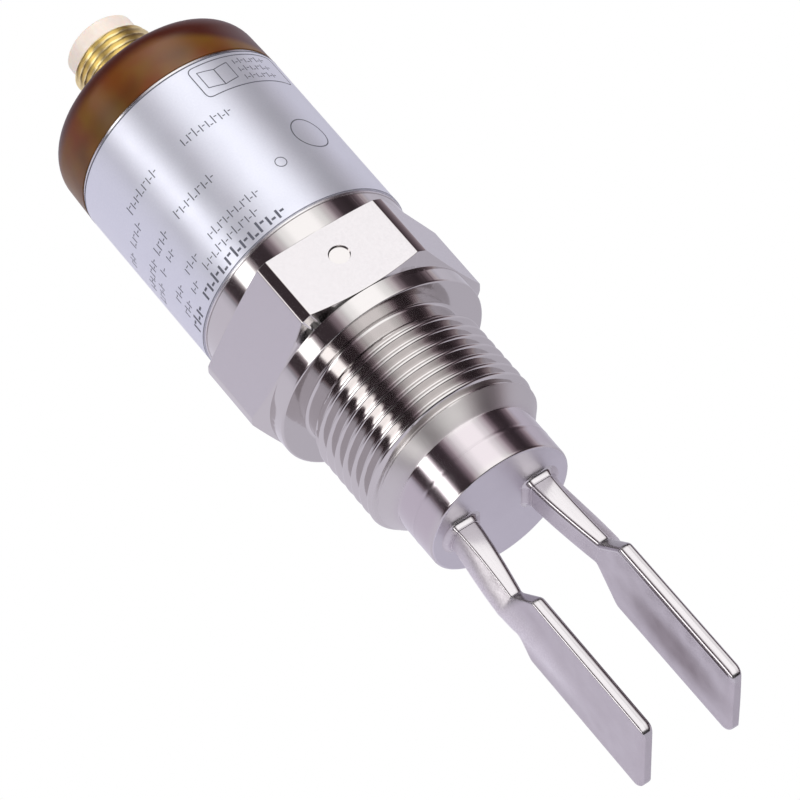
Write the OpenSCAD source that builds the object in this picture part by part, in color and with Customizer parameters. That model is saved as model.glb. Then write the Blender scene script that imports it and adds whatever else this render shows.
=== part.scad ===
// Compact tuning fork level switch with a G 3/4 process thread and an M12 connector.
// The origin is on the axis at the upper end of the process thread, +Z points to the connector,
// -Y is the marked wrench flat and the two tines stand apart along X.

/* [Process thread] */
// Outside diameter of the process thread
thread_d = 26.44; // [25:0.02:30]
// Length of the thread at its full diameter
thread_len = 12.2; // [9:0.1:18]
// Distance from one ridge of the process thread to the next
thread_pitch = 1.814; // [1.4:0.001:2.4]
// Depth of the process thread under its ridges
thread_depth = 1.162; // [0.6:0.001:1.2]
// Angle between the two sides of a ridge
thread_angle = 55; // [45:1:60]
// Length of the cone that leads the thread in
lead_in_len = 2.8; // [1.5:0.1:5]
// Depth of the relief neck below the top of the thread
neck_cut = 1.37; // [1.17:0.05:2]
// Distance from the full thread up to the sealing face
neck_len = 3.5; // [3.5:0.1:6]

/* [Hexagon and collar] */
// Distance that the wrench flats stand out over the tube
hex_over = 0.15; // [0.1:0.05:2]
// Diameter that the corners are turned down to, as a share of the size across the flats
hex_corner = 1.128; // [1.06:0.002:1.15]
// Height of the hexagon
hex_h = 11.1; // [7:0.1:18]
// Slope of the lower chamfer of the hexagon
hex_chamfer_deg = 20; // [10:1:40]
// Slope of the upper chamfer of the hexagon
hex_top_deg = 6; // [3:1:30]
// Height of the sealing collar
collar_h = 2.8; // [1.5:0.1:6]
// Edge break of the sealing collar
collar_edge = 0.3; // [0.1:0.05:0.8]
// Step from the tube down to the turned band under it
band_step = 0.15; // [0.05:0.05:0.4]
// Height of the turned band
band_h = 3.5; // [1.5:0.1:8]
// Diameter of the mark that shows how the tines stand
mark_d = 3.2; // [2:0.1:5]
// Depth of the mark
mark_depth = 0.3; // [0.2:0.05:1]
// Height of the mark on its flat, as a share of the hexagon's height
mark_at = 0.57; // [0.4:0.01:0.6]

/* [Nose and fork] */
// Diameter of the nose
nose_d = 21.5; // [20:0.1:22.5]
// Length of the nose that belongs to the turned fitting
nose_stub = 3.5; // [2:0.1:8]
// Length of the nose that belongs to the fork casting
nose_len = 3.9; // [3.5:0.1:8]
// Radius at the end of the nose
nose_edge = 0.4; // [0.1:0.05:0.8]
// Height of the weld bead over the nose
weld_rise = 0.16; // [0.05:0.01:0.3]
// Half width of the weld bead
weld_half = 0.7; // [0.3:0.1:1.2]
// Thickness of the diaphragm
diaphragm_t = 1.5; // [1:0.1:2.5]
// Length of the tines below the diaphragm
tine_len = 40.6; // [32:0.1:60]
// Length of the stem, from the diaphragm to the shoulder
stem_len = 12.5; // [8:0.1:18]
// Width of the stem
stem_w = 4.9; // [3.5:0.1:7]
// Distance from the stem's flat side to the edge of the nose
stem_margin = 3.3; // [2.6:0.05:3.8]
// Thickness of the stem's flat side, at its root
stem_side = 3.3; // [2.4:0.1:3.8]
// Distance that the stem leans out from its root to the paddle
stem_lean = 1.6; // [0.8:0.05:2.2]
// Height of the crowned back over the side of the stem, where it is highest
stem_crown = 1.7; // [0.4:0.1:1.8]
// Length of the shoulder, from the stem to the paddle
shoulder_len = 5.1; // [3:0.1:8]
// Width of the paddle
paddle_w = 13.8; // [10:0.1:14.2]
// Thickness of the paddle
paddle_t = 2; // [1.6:0.1:2.4]
// Distance that the paddle leans out over its length
paddle_lean = 0.1; // [0:0.05:0.4]
// Crown on the back of the paddle, at its tip
paddle_crown = 0.12; // [0:0.02:0.3]
// Corner radius at the tip
tip_r = 1.5; // [0.8:0.1:3]
// Fillet at the root of each tine
root_fillet = 0.8; // [0.3:0.1:1.4]

/* [Piezo drive] */
// Wall of the nose round its bore
nose_wall = 2.35; // [1.9:0.05:2.8]
// Room between the discs and the bore, for the leads
lead_room = 2.4; // [2:0.1:3]
// Diameter of the clamp bolt
bolt_d = 4; // [3:0.5:4]
// Wall of the insulating tube round the bolt
insulator_wall = 0.55; // [0.3:0.05:0.8]
// Thickness of one piezo disc
piezo_t = 2; // [1:0.1:3]
// Number of piezo discs
piezo_n = 4; // [2:2:6]
// Thickness of one electrode plate
electrode_t = 0.3; // [0.2:0.05:0.5]
// Thickness of one ceramic ring
ceramic_t = 1; // [0.6:0.1:2]
// Height of the pressure ring
ring_h = 3.5; // [3:0.1:6]
// Thickness of the pressure washer
washer_t = 1.5; // [0.8:0.1:2.5]
// Thickness of the disc spring's sheet
spring_t = 0.5; // [0.3:0.05:0.7]
// Height of the disc spring's cone
spring_rise = 0.4; // [0.2:0.05:0.6]
// Height of the clamp nut
nut_h = 3.2; // [2.4:0.1:4]

/* [Housing] */
// Outside diameter of the tube
tube_d = 31.7; // [31.6:0.1:33]
// Wall of the tube
tube_wall = 1; // [0.6:0.1:1.4]
// Length of the tube
tube_len = 28.7; // [26:0.1:45]
// Depth of the fitting's spigot in the tube
spigot_h = 6; // [4.5:0.1:8]
// Wall of the spigot
spigot_wall = 2.85; // [2.2:0.05:3.5]
// Thickness of the label
label_t = 0.15; // [0.1:0.01:0.3]
// Bare tube above the label
label_top_gap = 0.45; // [0.2:0.05:3]
// Bare tube below the label
label_low_gap = 0.35; // [0.2:0.05:3]
// Gap where the two ends of the label meet
label_seam = 1.2; // [0.4:0.1:4]
// Section of the O-rings
ring_section = 1.5; // [1:0.1:1.8]

/* [Head] */
// Step from the tube down to the head
head_step = 0.02; // [0:0.01:0.4]
// Height of the head
head_h = 9.2; // [7.8:0.1:14]
// Radius of the head's shoulder
head_round = 4.4; // [2:0.1:6]
// Distance that the head's lip stands out over the tube
lip_over = 0.25; // [0.1:0.05:1]
// Height of the head's lip
lip_h = 1.1; // [0.5:0.1:2]
// Wall at the top of the head
head_top = 2.6; // [1.8:0.1:3.2]
// Wall of the head's skirt in the tube
skirt_wall = 2; // [1.9:0.1:2.6]
// Depth of the skirt in the tube
skirt_h = 5; // [3.5:0.1:7]

/* [Connector] */
// Outside diameter of the connector thread
plug_d = 12; // [11.5:0.1:13]
// Step from the sleeve's plain seat in the head up to its thread
seat_step = 0.3; // [0.1:0.05:0.6]
// Length of the sleeve that stands out of the head
sleeve_out = 8.2; // [6:0.1:12]
// Wall of the sleeve
sleeve_wall = 1; // [0.7:0.05:1.2]
// Distance that the sleeve's flange stands out inside the head
flange_over = 2; // [1.6:0.1:2.6]
// Thickness of the sleeve's flange
sleeve_flange_t = 1.6; // [1.5:0.1:2.5]
// Distance that the plug shroud laps over the end of the sleeve
carrier_lap = 0.2; // [0.1:0.05:0.4]
// Length of the plug shroud over the sleeve
carrier_out = 2.8; // [1.5:0.1:4]
// Thickness of the contact carrier's flange
carrier_flange_t = 1.8; // [1:0.1:3]
// Wall of the plug shroud round the recess
recess_wall = 0.6; // [0.4:0.05:0.9]
// Depth of the plug recess
recess_depth = 9; // [6:0.1:10]
// Diameter of one contact pin
pin_d = 1; // [0.8:0.1:1.2]
// Radius of the circle that the pins stand on, as a share of the recess's radius
pin_circle = 0.52; // [0.4:0.01:0.65]
// Distance of the pin tips below the rim
pin_sink = 2; // [1:0.1:3]
// Length of the pins' solder tails
pin_tail = 2.4; // [1.5:0.1:3]

/* [Electronics] */
// Room between the edge of the circuit board and the wall of its cavity
board_room = 1.97; // [1.8:0.01:3]
// Thickness of the circuit board
board_t = 1.2; // [0.8:0.1:1.6]
// Thickness of the board carrier's foot
foot_t = 2.5; // [1.5:0.1:4]
// Height of the board carrier's rails
rail_h = 26; // [12:0.5:28]
// Depth of the slots in the rails
slot_depth = 1; // [0.5:0.1:1.5]
// Diameter of a lead
lead_d = 0.8; // [0.5:0.1:0.9]
// Room above the clamp bolt where the leads bend
lead_bend = 7.8; // [5:0.1:10]
// Drop of the connector leads from the pins to the board
lead_drop = 2; // [1:0.1:4]

/* [Hidden] */
$fn = 96;

// Slip clearance between pieces that slide together
slip = 0.03;
// Overlap of cutting tools past the face they cut
past = 1;

// Radii of the turned fitting
thread_r = thread_d / 2;
neck_r = thread_r - neck_cut;
tube_r = tube_d / 2;
tube_in = tube_r - tube_wall;
collar_r = tube_r;
band_r = tube_r - band_step;
flat_r = tube_r + hex_over;
corner_r = flat_r * hex_corner;
nose_r = nose_d / 2;
bore_r = nose_r - nose_wall;
spigot_r = tube_in - slip;
cavity_r = spigot_r - spigot_wall;

// Heights along the fitting
lead_in_z = -thread_len - lead_in_len;
weld_z = lead_in_z - nose_stub;
face_z = weld_z - nose_len;
tip_z = face_z - tine_len;
seal_z = neck_len;
collar_z = seal_z + collar_h;
hex_z = collar_z + hex_h;
tube_z = hex_z + band_h;
spigot_z = tube_z + spigot_h;

// Locating lip of the fork casting inside the fitting
lip_in_h = 1;
lip_in_wall = 0.9;

// Stack of the piezo drive, from the diaphragm upwards
stud_r = bolt_d / 2;
hole_r = stud_r + slip + insulator_wall + slip;
disc_r = bore_r - lead_room;
diaphragm_z = face_z + diaphragm_t;
boss_h = ring_h * 0.8;
boss_wall = 1.2;
boss_r = stud_r + boss_wall;
stud_z = diaphragm_z + boss_h * 0.35;
ring_z = diaphragm_z + ring_h;
first_plate_z = ring_z + ceramic_t;
plate_step = piezo_t + electrode_t;
last_plate_z = first_plate_z + piezo_n * plate_step + electrode_t;
washer_z = last_plate_z + ceramic_t;
spring_z = washer_z + washer_t;
nut_z = spring_z + spring_t + spring_rise;
bolt_over = 1.5;
bolt_z = nut_z + nut_h + bolt_over;
nut_af = bolt_d * 1.75;
tag_w = 1.2;
tag_over = 1.1;

// Board and its carrier
floor_z = max(bolt_z + lead_bend, collar_z);
board_z = floor_z + foot_t;
board_w = 2 * (cavity_r - board_room);
unit = board_w / 20;
lead_r = lead_d / 2;
lead_x = disc_r + tag_over + lead_r;
lead_y = board_t / 2 + lead_r;
pad_x = board_w * 0.28;
rail_wall = board_room * 0.76;
rail_side = 1.9;

// Head and connector
tube_top = tube_z + tube_len;
head_z = tube_top + head_h;
head_in_z = head_z - head_top;
skirt_r = tube_in - slip;
skirt_in = skirt_r - skirt_wall;
skirt_z = tube_top - skirt_h;
plug_r = plug_d / 2;
seat_r = plug_r + seat_step;
flange_r = plug_r + flange_over;
bore_in = plug_r - sleeve_wall;
recess_r = bore_in - recess_wall;
pin_r = recess_r * pin_circle;
boss_ring_wall = 1.5;
sleeve_z = head_z + sleeve_out;
carrier_top = sleeve_z + carrier_out;
carrier_z = head_in_z - sleeve_flange_t - carrier_flange_t;
recess_z = carrier_top - recess_depth;
tail_z = carrier_z - pin_tail;
board_top = tail_z - lead_drop;
pin_angles = [45, 135, 225, 315];

// Squeezed O-rings: how deep a groove is against the section, and how much wider
squeeze = 0.8;
groove_extra = 0.4;
groove_depth = ring_section * squeeze;
groove_w = ring_section + groove_extra;
tube_seal_z = tube_z + spigot_h / 2;
cap_seal_z = tube_top - skirt_h / 2;
sleeve_seal_d = 0.8;
sleeve_seal_r = (seat_r + flange_r) / 2;

function mix(a, b, t) = a + (b - a) * t;
function ease(t) = t * t * (3 - 2 * t);

// A hollow turned ring from one height to another
module tube_ring(outer, inner, low, high) {
    difference() {
        translate([0, 0, low]) cylinder(r = outer, h = high - low);
        translate([0, 0, low - past]) cylinder(r = inner, h = high - low + 2 * past);
    }
}

// An O-ring as it sits pressed between a groove floor and a wall
module pressed_ring(inner, outer, mid_z) {
    rotate_extrude()
        translate([(inner + outer) / 2, mid_z])
            intersection() {
                circle(d = ring_section);
                square([outer - inner, 2 * ring_section], center = true);
            }
}

// Grooves of the process thread, drawn as rings of its profile along the length at full diameter
ridge_side = thread_depth * tan(thread_angle / 2);
ridge_top = (thread_pitch - 2 * ridge_side) / 2;
groove_half = (thread_pitch - ridge_top) / 2;
groove_n = floor((thread_len - ridge_top) / thread_pitch);
groove_low = -(thread_len + (groove_n - 1) * thread_pitch) / 2;
function thread_points() = [
    for (i = [0 : groove_n - 1])
        let (mid = groove_low + i * thread_pitch)
        each [[thread_r, mid - groove_half], [thread_r - thread_depth, mid - ridge_top / 2],
              [thread_r - thread_depth, mid + ridge_top / 2], [thread_r, mid + groove_half]]
];

// Outline of the turned fitting, from the weld up to the spigot
module fitting_outline() {
    chamfer_rise = (corner_r - collar_r) * tan(hex_chamfer_deg);
    top_fall = (corner_r - flat_r) * tan(hex_top_deg);
    polygon(concat(
        [[bore_r, weld_z], [nose_r + weld_rise, weld_z], [nose_r, weld_z + weld_half],
         [nose_r, lead_in_z], [thread_r, -thread_len]],
        thread_points(),
        [[thread_r, 0], [neck_r, neck_cut], [neck_r, seal_z],
         [collar_r - collar_edge, seal_z], [collar_r, seal_z + collar_edge], [collar_r, collar_z],
         [corner_r, collar_z + chamfer_rise], [corner_r, hex_z - top_fall],
         [flat_r, hex_z], [band_r, hex_z], [band_r, tube_z],
         [spigot_r, tube_z], [spigot_r, spigot_z], [cavity_r, spigot_z],
         [cavity_r, floor_z], [bore_r, floor_z]]
    ));
}

// Turned body: hexagon, sealing collar, relief neck, thread and the upper part of the nose
module process_fitting() {
    color("#c8c5ca")
    difference() {
        rotate_extrude() fitting_outline();
        for (turn = [0 : 60 : 300])
            rotate(turn)
                translate([-corner_r, flat_r, collar_z])
                    cube([2 * corner_r, corner_r, hex_h]);
        translate([0, 0, weld_z - past])
            cylinder(r = bore_r + lip_in_wall + slip, h = lip_in_h + slip + past);
        tube_ring(spigot_r + past, spigot_r - groove_depth + slip,
                  tube_seal_z - groove_w / 2, tube_seal_z + groove_w / 2);
        translate([0, mark_depth - flat_r, mix(collar_z, hex_z, mark_at)])
            rotate([90, 0, 0]) cylinder(d = mark_d, h = mark_depth + past);
    }
}

// One section through a tine at height z: flat inner face, flat sides and a crowned back
function tine_ring(z, inner, side, crown, half, corner) =
    let (
        edge = inner + side,
        y_end = half - corner + corner * sin(30),
        x_end = edge - corner + corner * cos(30),
        upper = concat(
            [for (a = [180 : -30 : 90])
                [inner + corner + corner * cos(a), half - corner + corner * sin(a), z]],
            [for (a = [90 : -30 : 30])
                [edge - corner + corner * cos(a), half - corner + corner * sin(a), z]],
            [for (s = [0.75, 0.5, 0.25])
                [edge + crown - (edge + crown - x_end) * s * s, y_end * s, z]]
        ),
        last = len(upper) - 1
    )
    concat(upper, [[edge + crown, 0, z]],
           [for (i = [last : -1 : 0]) [upper[i].x, -upper[i].y, z]]);

// Sections of the stem, of the shoulder and of the paddle
stem_round = stem_w * 0.09;
paddle_round = paddle_t * 0.24;
tip_inset = paddle_t * 0.2;
fillet_steps = 4;
stem_steps = 8;
shoulder_steps = 8;
paddle_steps = 6;
tip_steps = 5;
stem_in = nose_r - stem_margin - stem_side;
shoulder_in = stem_in + stem_lean;
shoulder_z = face_z - stem_len;
paddle_z = shoulder_z - shoulder_len;
shoulder_soft = 0.15;
lean_bend = 1.3;
fade_z = mix(paddle_z, tip_z, 0.75);

// Share of the way along the shoulder turned into a share of its widening: straight, with soft ends
function ramp(t) =
    (t < shoulder_soft ? t * t / (2 * shoulder_soft)
        : t > 1 - shoulder_soft ? 1 - shoulder_soft - (1 - t) * (1 - t) / (2 * shoulder_soft)
        : t - shoulder_soft / 2) / (1 - shoulder_soft);
// Height of the back over the sides: it swells along the stem and fades out down the paddle
root_crown = 0.45;
swell_end = 0.9;
function stem_swell(z) = sin(90 * min(1, (face_z - z) / (stem_len * swell_end)));
function paddle_fade(z) = pow(max(0, (z - fade_z) / (shoulder_z - fade_z)), 2);
function back_crown(z) =
    z > shoulder_z ? stem_crown * mix(root_crown, 1, stem_swell(z))
        : mix(paddle_crown, stem_crown, paddle_fade(z));
function paddle_in(z) = shoulder_in + paddle_lean * (shoulder_z - z) / (shoulder_z - tip_z);

function root_sections() = [
    for (i = [-1 : fillet_steps - 1])
        let (
            a = 90 * max(i, 0) / fillet_steps,
            flare = root_fillet * (1 - sin(a)),
            sunk = i < 0 ? diaphragm_t / 3 : 0,
            z = face_z - root_fillet * (1 - cos(a)) + sunk
        )
        tine_ring(z, stem_in - flare, stem_side + 2 * flare, back_crown(z),
                  stem_w / 2 + flare, stem_round + flare)
];
function stem_sections() = [
    for (i = [0 : stem_steps])
        let (t = i / stem_steps, z = mix(face_z - root_fillet, shoulder_z, t))
        tine_ring(z, mix(stem_in, shoulder_in, pow(t, lean_bend)), mix(stem_side, paddle_t, t),
                  back_crown(z), stem_w / 2, stem_round)
];
function shoulder_sections() = [
    for (i = [1 : shoulder_steps])
        let (t = i / shoulder_steps, z = mix(shoulder_z, paddle_z, t))
        tine_ring(z, paddle_in(z), paddle_t, back_crown(z),
                  mix(stem_w, paddle_w, ramp(t)) / 2, mix(stem_round, paddle_round, t))
];
function paddle_sections() = [
    for (i = [1 : paddle_steps])
        let (z = mix(paddle_z, fade_z, i / paddle_steps))
        tine_ring(z, paddle_in(z), paddle_t, back_crown(z), paddle_w / 2, paddle_round)
];
function tip_sections() = [
    for (i = [0 : tip_steps])
        let (
            a = 90 * i / tip_steps,
            inset = tip_inset * (1 - cos(a)),
            z = tip_z + tip_r * (1 - sin(a))
        )
        tine_ring(z, paddle_in(z) + inset, paddle_t - 2 * inset, paddle_crown * cos(a),
                  paddle_w / 2 - tip_r * (1 - cos(a)), paddle_round - inset)
];

// Skin over a row of sections that all have the same number of points
module skin(sections) {
    rows = len(sections);
    cols = len(sections[0]);
    polyhedron(
        points = [for (ring = sections) each ring],
        faces = concat(
            [[for (k = [0 : cols - 1]) k]],
            [for (i = [0 : rows - 2], k = [0 : cols - 1])
                [i * cols + k, (i + 1) * cols + k, (i + 1) * cols + (k + 1) % cols]],
            [for (i = [0 : rows - 2], k = [0 : cols - 1])
                [i * cols + k, (i + 1) * cols + (k + 1) % cols, i * cols + (k + 1) % cols]],
            [[for (k = [cols - 1 : -1 : 0]) (rows - 1) * cols + k]]
        )
    );
}

module tine() {
    skin(concat(root_sections(), stem_sections(), shoulder_sections(), paddle_sections(), tip_sections()));
}

// Cast cup of the nose with the diaphragm, the stud boss and the locating lip
module nose_cup() {
    rotate_extrude() {
        difference() {
            union() {
                translate([0, face_z + nose_edge]) square([nose_r, nose_len - nose_edge]);
                translate([0, face_z]) square([nose_r - nose_edge, nose_len]);
                translate([nose_r - nose_edge, face_z + nose_edge]) circle(r = nose_edge);
                polygon([[nose_r - past, weld_z], [nose_r + weld_rise, weld_z],
                         [nose_r, weld_z - weld_half], [nose_r - past, weld_z - weld_half]]);
                translate([0, weld_z - past]) square([bore_r + lip_in_wall, lip_in_h + past]);
            }
            translate([-past, diaphragm_z]) square([bore_r + past, nose_len + lip_in_h]);
        }
        translate([0, diaphragm_z - diaphragm_t / 2])
            square([boss_r, boss_h + diaphragm_t / 2]);
    }
}

// Fork casting: nose, diaphragm and the two tines in one piece
module tuning_fork() {
    color("#b9b5c0")
    difference() {
        union() {
            nose_cup();
            tine();
            mirror([1, 0, 0]) tine();
        }
        translate([0, 0, stud_z]) cylinder(r = stud_r + slip, h = boss_h);
    }
}

// Ring that passes the force of the stack to the rim of the diaphragm
module pressure_ring() {
    foot_wall = 1.6;
    plate_t = ring_h * 0.5;
    color("#a9a9b0")
    difference() {
        translate([0, 0, diaphragm_z]) cylinder(r = bore_r - slip, h = ring_h);
        translate([0, 0, diaphragm_z - past])
            cylinder(r = bore_r - foot_wall, h = ring_h - plate_t + past);
        translate([0, 0, diaphragm_z]) cylinder(r = boss_r + slip, h = boss_h + slip);
        translate([0, 0, diaphragm_z]) cylinder(r = hole_r, h = ring_h + past);
    }
}

module insulating_rings() {
    color("#efece4")
    for (low = [ring_z, last_plate_z])
        tube_ring(disc_r, hole_r, low, low + ceramic_t);
}

// Contact plates, with solder tags to one side and the other in turn
module electrode_plates() {
    color("#c9a24e")
    for (i = [0 : piezo_n])
        let (low = first_plate_z + i * plate_step, side = i % 2 == 0 ? 1 : -1)
        difference() {
            union() {
                translate([0, 0, low]) cylinder(r = disc_r, h = electrode_t);
                translate([side > 0 ? 0 : -lead_x + lead_r, -tag_w / 2, low])
                    cube([lead_x - lead_r, tag_w, electrode_t]);
            }
            translate([0, 0, low - past]) cylinder(r = hole_r, h = electrode_t + 2 * past);
        }
}

module piezo_discs() {
    color("#8d8574")
    for (i = [0 : piezo_n - 1])
        let (low = first_plate_z + i * plate_step + electrode_t)
        tube_ring(disc_r, hole_r, low, low + piezo_t);
}

module insulating_sleeve() {
    color("#f4f2ec")
    tube_ring(hole_r - slip, stud_r + slip, diaphragm_z + boss_h + slip, spring_z);
}

module pressure_washer() {
    color("#b4b4ba") tube_ring(disc_r, hole_r, washer_z, spring_z);
}

// Coned spring washer: its rim is on the pressure washer and its bore edge is under the nut
module disc_spring() {
    inner = stud_r + 3 * slip;
    outer = disc_r * 0.85;
    color("#8f9096")
    rotate_extrude()
        polygon([[inner, spring_z + spring_rise], [outer, spring_z],
                 [outer, spring_z + spring_t], [inner, nut_z]]);
}

module clamp_bolt() {
    tip_chamfer = 0.4;
    color("#bdbdc2")
    rotate_extrude()
        polygon([[0, stud_z], [stud_r - tip_chamfer, stud_z], [stud_r, stud_z + tip_chamfer],
                 [stud_r, bolt_z - tip_chamfer], [stud_r - tip_chamfer, bolt_z], [0, bolt_z]]);
}

module clamp_nut() {
    corner = nut_af / 2 / cos(30);
    color("#bdbdc2")
    difference() {
        intersection() {
            translate([0, 0, nut_z]) cylinder(r = corner, h = nut_h, $fn = 6);
            rotate_extrude()
                polygon([[0, nut_z], [nut_af / 2, nut_z], [corner, nut_z + nut_h * 0.1],
                         [corner, nut_z + nut_h * 0.9], [nut_af / 2, nut_z + nut_h], [0, nut_z + nut_h]]);
        }
        translate([0, 0, nut_z - past]) cylinder(r = stud_r + slip, h = nut_h + 2 * past);
    }
}

// Round lead swept along a path that never runs along Y
lead_sides = 8;
function heading(v) = v / norm(v);
function lead_ring(path, i) =
    let (
        ahead = path[min(i + 1, len(path) - 1)],
        behind = path[max(i - 1, 0)],
        dir = heading(ahead - behind),
        u = heading(cross(dir, [0, 1, 0])),
        v = cross(dir, u)
    )
    [for (k = [0 : lead_sides - 1])
        let (a = -360 * k / lead_sides) path[i] + lead_r * (u * cos(a) + v * sin(a))];
function s_bend(from, to, steps) = [
    for (i = [0 : steps])
        let (t = i / steps)
        [mix(from.x, to.x, ease(t)), mix(from.y, to.y, ease(t)), mix(from.z, to.z, t)]
];
module lead(path) {
    skin([for (i = [0 : len(path) - 1]) lead_ring(path, i)]);
}

// Leads from the solder tags, up past the nut, through the foot and onto the board
module piezo_leads() {
    bend_low = bolt_z + lead_bend * 0.15;
    bend_high = floor_z - lead_bend * 0.1;
    solder_z = board_z + 3;
    color("#b03a2e")
    for (side = [-1, 1])
        lead(concat(
            [[side * lead_x, 0, first_plate_z]],
            s_bend([side * lead_x, 0, bend_low], [side * pad_x, lead_y, bend_high], 8),
            [[side * pad_x, lead_y, solder_z]]
        ));
}

// Moulded foot on the fitting's inner shoulder, with two slotted rails for the board
module board_carrier() {
    foot_r = cavity_r - slip;
    rail_x = board_w / 2 - slot_depth;
    color("#3b3d42")
    difference() {
        intersection() {
            union() {
                translate([0, 0, floor_z]) cylinder(r = foot_r, h = foot_t);
                for (side = [-1, 1])
                    translate([side > 0 ? rail_x : -rail_x - slot_depth - rail_wall,
                               -board_t / 2 - rail_side, board_z])
                        cube([slot_depth + rail_wall, board_t + 2 * rail_side, rail_h]);
            }
            translate([0, 0, floor_z]) cylinder(r = foot_r, h = foot_t + rail_h);
        }
        translate([-board_w / 2 - slip, -board_t / 2 - slip, board_z])
            cube([board_w + 2 * slip, board_t + 2 * slip, rail_h + past]);
        for (side = [-1, 1])
            translate([side * pad_x, lead_y, floor_z - past])
                cylinder(r = lead_r + 2 * slip, h = foot_t + 2 * past);
    }
}

module circuit_board() {
    color("#2f6b45")
    translate([-board_w / 2, -board_t / 2, board_z]) cube([board_w, board_t, board_top - board_z]);
}

// Height on the board, as a share of its length
function board_at(share) = mix(board_z, board_top, share);

// Flat package with a row of legs on each side, on the front of the board
module microcontroller() {
    chip = 7 * unit;
    chip_t = 1.3 * unit;
    leg = 0.9 * unit;
    leg_t = 0.3 * unit;
    leg_w = 0.35 * unit;
    legs = 8;
    pitch = chip / (legs + 0.5);
    color("#26262a")
    translate([-1.5 * unit, -board_t / 2, board_at(0.45)]) {
        translate([-chip / 2, -chip_t, -chip / 2]) cube([chip, chip_t, chip]);
        for (turn = [0 : 90 : 270], i = [0 : legs - 1])
            rotate([0, turn, 0])
                translate([(i - (legs - 1) / 2) * pitch - leg_w / 2, -leg_t, chip / 2 - leg_t])
                    cube([leg_w, leg_t, leg + leg_t]);
    }
}

// Two power transistors on the back of the board
module output_transistors() {
    body = [6.4, 2.2, 5.6] * unit;
    leg = [0.8, 0.6, 1.8] * unit;
    color("#2b2b30")
    for (share = [0.30, 0.56])
        translate([-board_w * 0.22, board_t / 2, board_at(share)]) {
            translate([-body.x / 2, 0, 0]) cube(body);
            for (i = [-1, 0, 1])
                translate([i * body.x * 0.35 - leg.x / 2, 0, -leg.z]) cube(leg + [0, 0, leg.y]);
        }
}

// Two can capacitors on the back of the board
module storage_capacitors() {
    can_d = 6.3 * unit;
    can_h = 5.4 * unit;
    base = [6.6, 0.9, 6.6] * unit;
    color("#b9bcc4")
    for (share = [0.36, 0.62])
        translate([board_w * 0.2, board_t / 2, board_at(share)]) {
            translate([-base.x / 2, 0, -base.z / 2]) cube(base);
            rotate([-90, 0, 0]) cylinder(d = can_d, h = base.y + can_h);
        }
}

module chip_resistors() {
    chip = [1.6, 0.55, 0.8] * unit;
    rows = 5;
    step = 1.7 * unit;
    color("#4a4a50")
    for (i = [0 : rows - 1], column = [-0.34, -0.22])
        translate([board_w * column - chip.x / 2, -board_t / 2 - chip.y,
                   board_at(0.66) + i * step]) cube(chip);
}

// Magnetic sensor on the side of the board that faces the test mark
module test_sensor() {
    body = [4.1, 1.6, 3] * unit;
    leg = [0.45, 0.4, 3] * unit;
    pitch = 1.27 * unit;
    color("#1f1f23")
    translate([board_w * 0.32, -board_t / 2, board_at(0.56)]) {
        translate([-body.x / 2, -body.y, 0]) cube(body);
        for (i = [-1, 0, 1])
            translate([i * pitch - leg.x / 2, -leg.y, -leg.z]) cube(leg + [0, 0, leg.y]);
    }
}

module status_leds() {
    base = [3.2, 0.6, 1.6] * unit;
    lens = [2, 0.5, 1.4] * unit;
    color("#e8e2c0")
    for (side = [-1, 1])
        translate([side * board_w * 0.34, -board_t / 2, board_at(0.94)]) {
            translate([-base.x / 2, -base.y, -base.z / 2]) cube(base);
            translate([-lens.x / 2, -base.y - lens.y, -lens.z / 2]) cube(lens + [0, base.y / 2, 0]);
        }
}

module tube_seal() {
    color("#1d1d1f") pressed_ring(tube_in - groove_depth, tube_in, tube_seal_z);
}

module housing_tube() {
    color("#cfd0d6") tube_ring(tube_r, tube_in, tube_z, tube_top);
}

// Foil wrapped round the tube, with its two ends meeting at the back
module label_foil() {
    color("#cdd0de")
    difference() {
        tube_ring(tube_r + label_t, tube_r, tube_z + label_low_gap, tube_top - label_top_gap);
        translate([-label_seam / 2, 0, tube_z]) cube([label_seam, tube_r + past, tube_len]);
    }
}

// Half section of a domed plug: straight sides up to a round shoulder
module domed(radius, low, high, shoulder) {
    translate([0, low]) square([radius - shoulder, high - low]);
    translate([0, low]) square([radius, high - low - shoulder]);
    translate([radius - shoulder, high - shoulder]) circle(r = shoulder);
}

// Moulded head: domed shell, lip on the tube, skirt inside it and a ring round the connector
module head_cap() {
    inner_round = head_round - 1;
    color("#7a3d0c")
    difference() {
        rotate_extrude()
            difference() {
                union() {
                    domed(tube_r - head_step, tube_top, head_z, head_round);
                    translate([0, tube_top]) square([tube_r + lip_over, lip_h]);
                    translate([0, skirt_z]) square([skirt_r, skirt_h]);
                }
                difference() {
                    domed(skirt_in, skirt_z - past, head_in_z, inner_round);
                    translate([0, carrier_z])
                        square([flange_r + slip + boss_ring_wall, head_in_z - carrier_z]);
                }
            }
        translate([0, 0, carrier_z - past])
            cylinder(r = flange_r + slip, h = head_in_z - carrier_z + past);
        translate([0, 0, carrier_z]) cylinder(r = seat_r + slip, h = head_z - carrier_z + past);
        tube_ring(skirt_r + past, skirt_r - groove_depth + slip,
                  cap_seal_z - groove_w / 2, cap_seal_z + groove_w / 2);
    }
}

module cap_seal() {
    color("#1d1d1f") pressed_ring(tube_in - groove_depth, tube_in, cap_seal_z);
}

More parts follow.
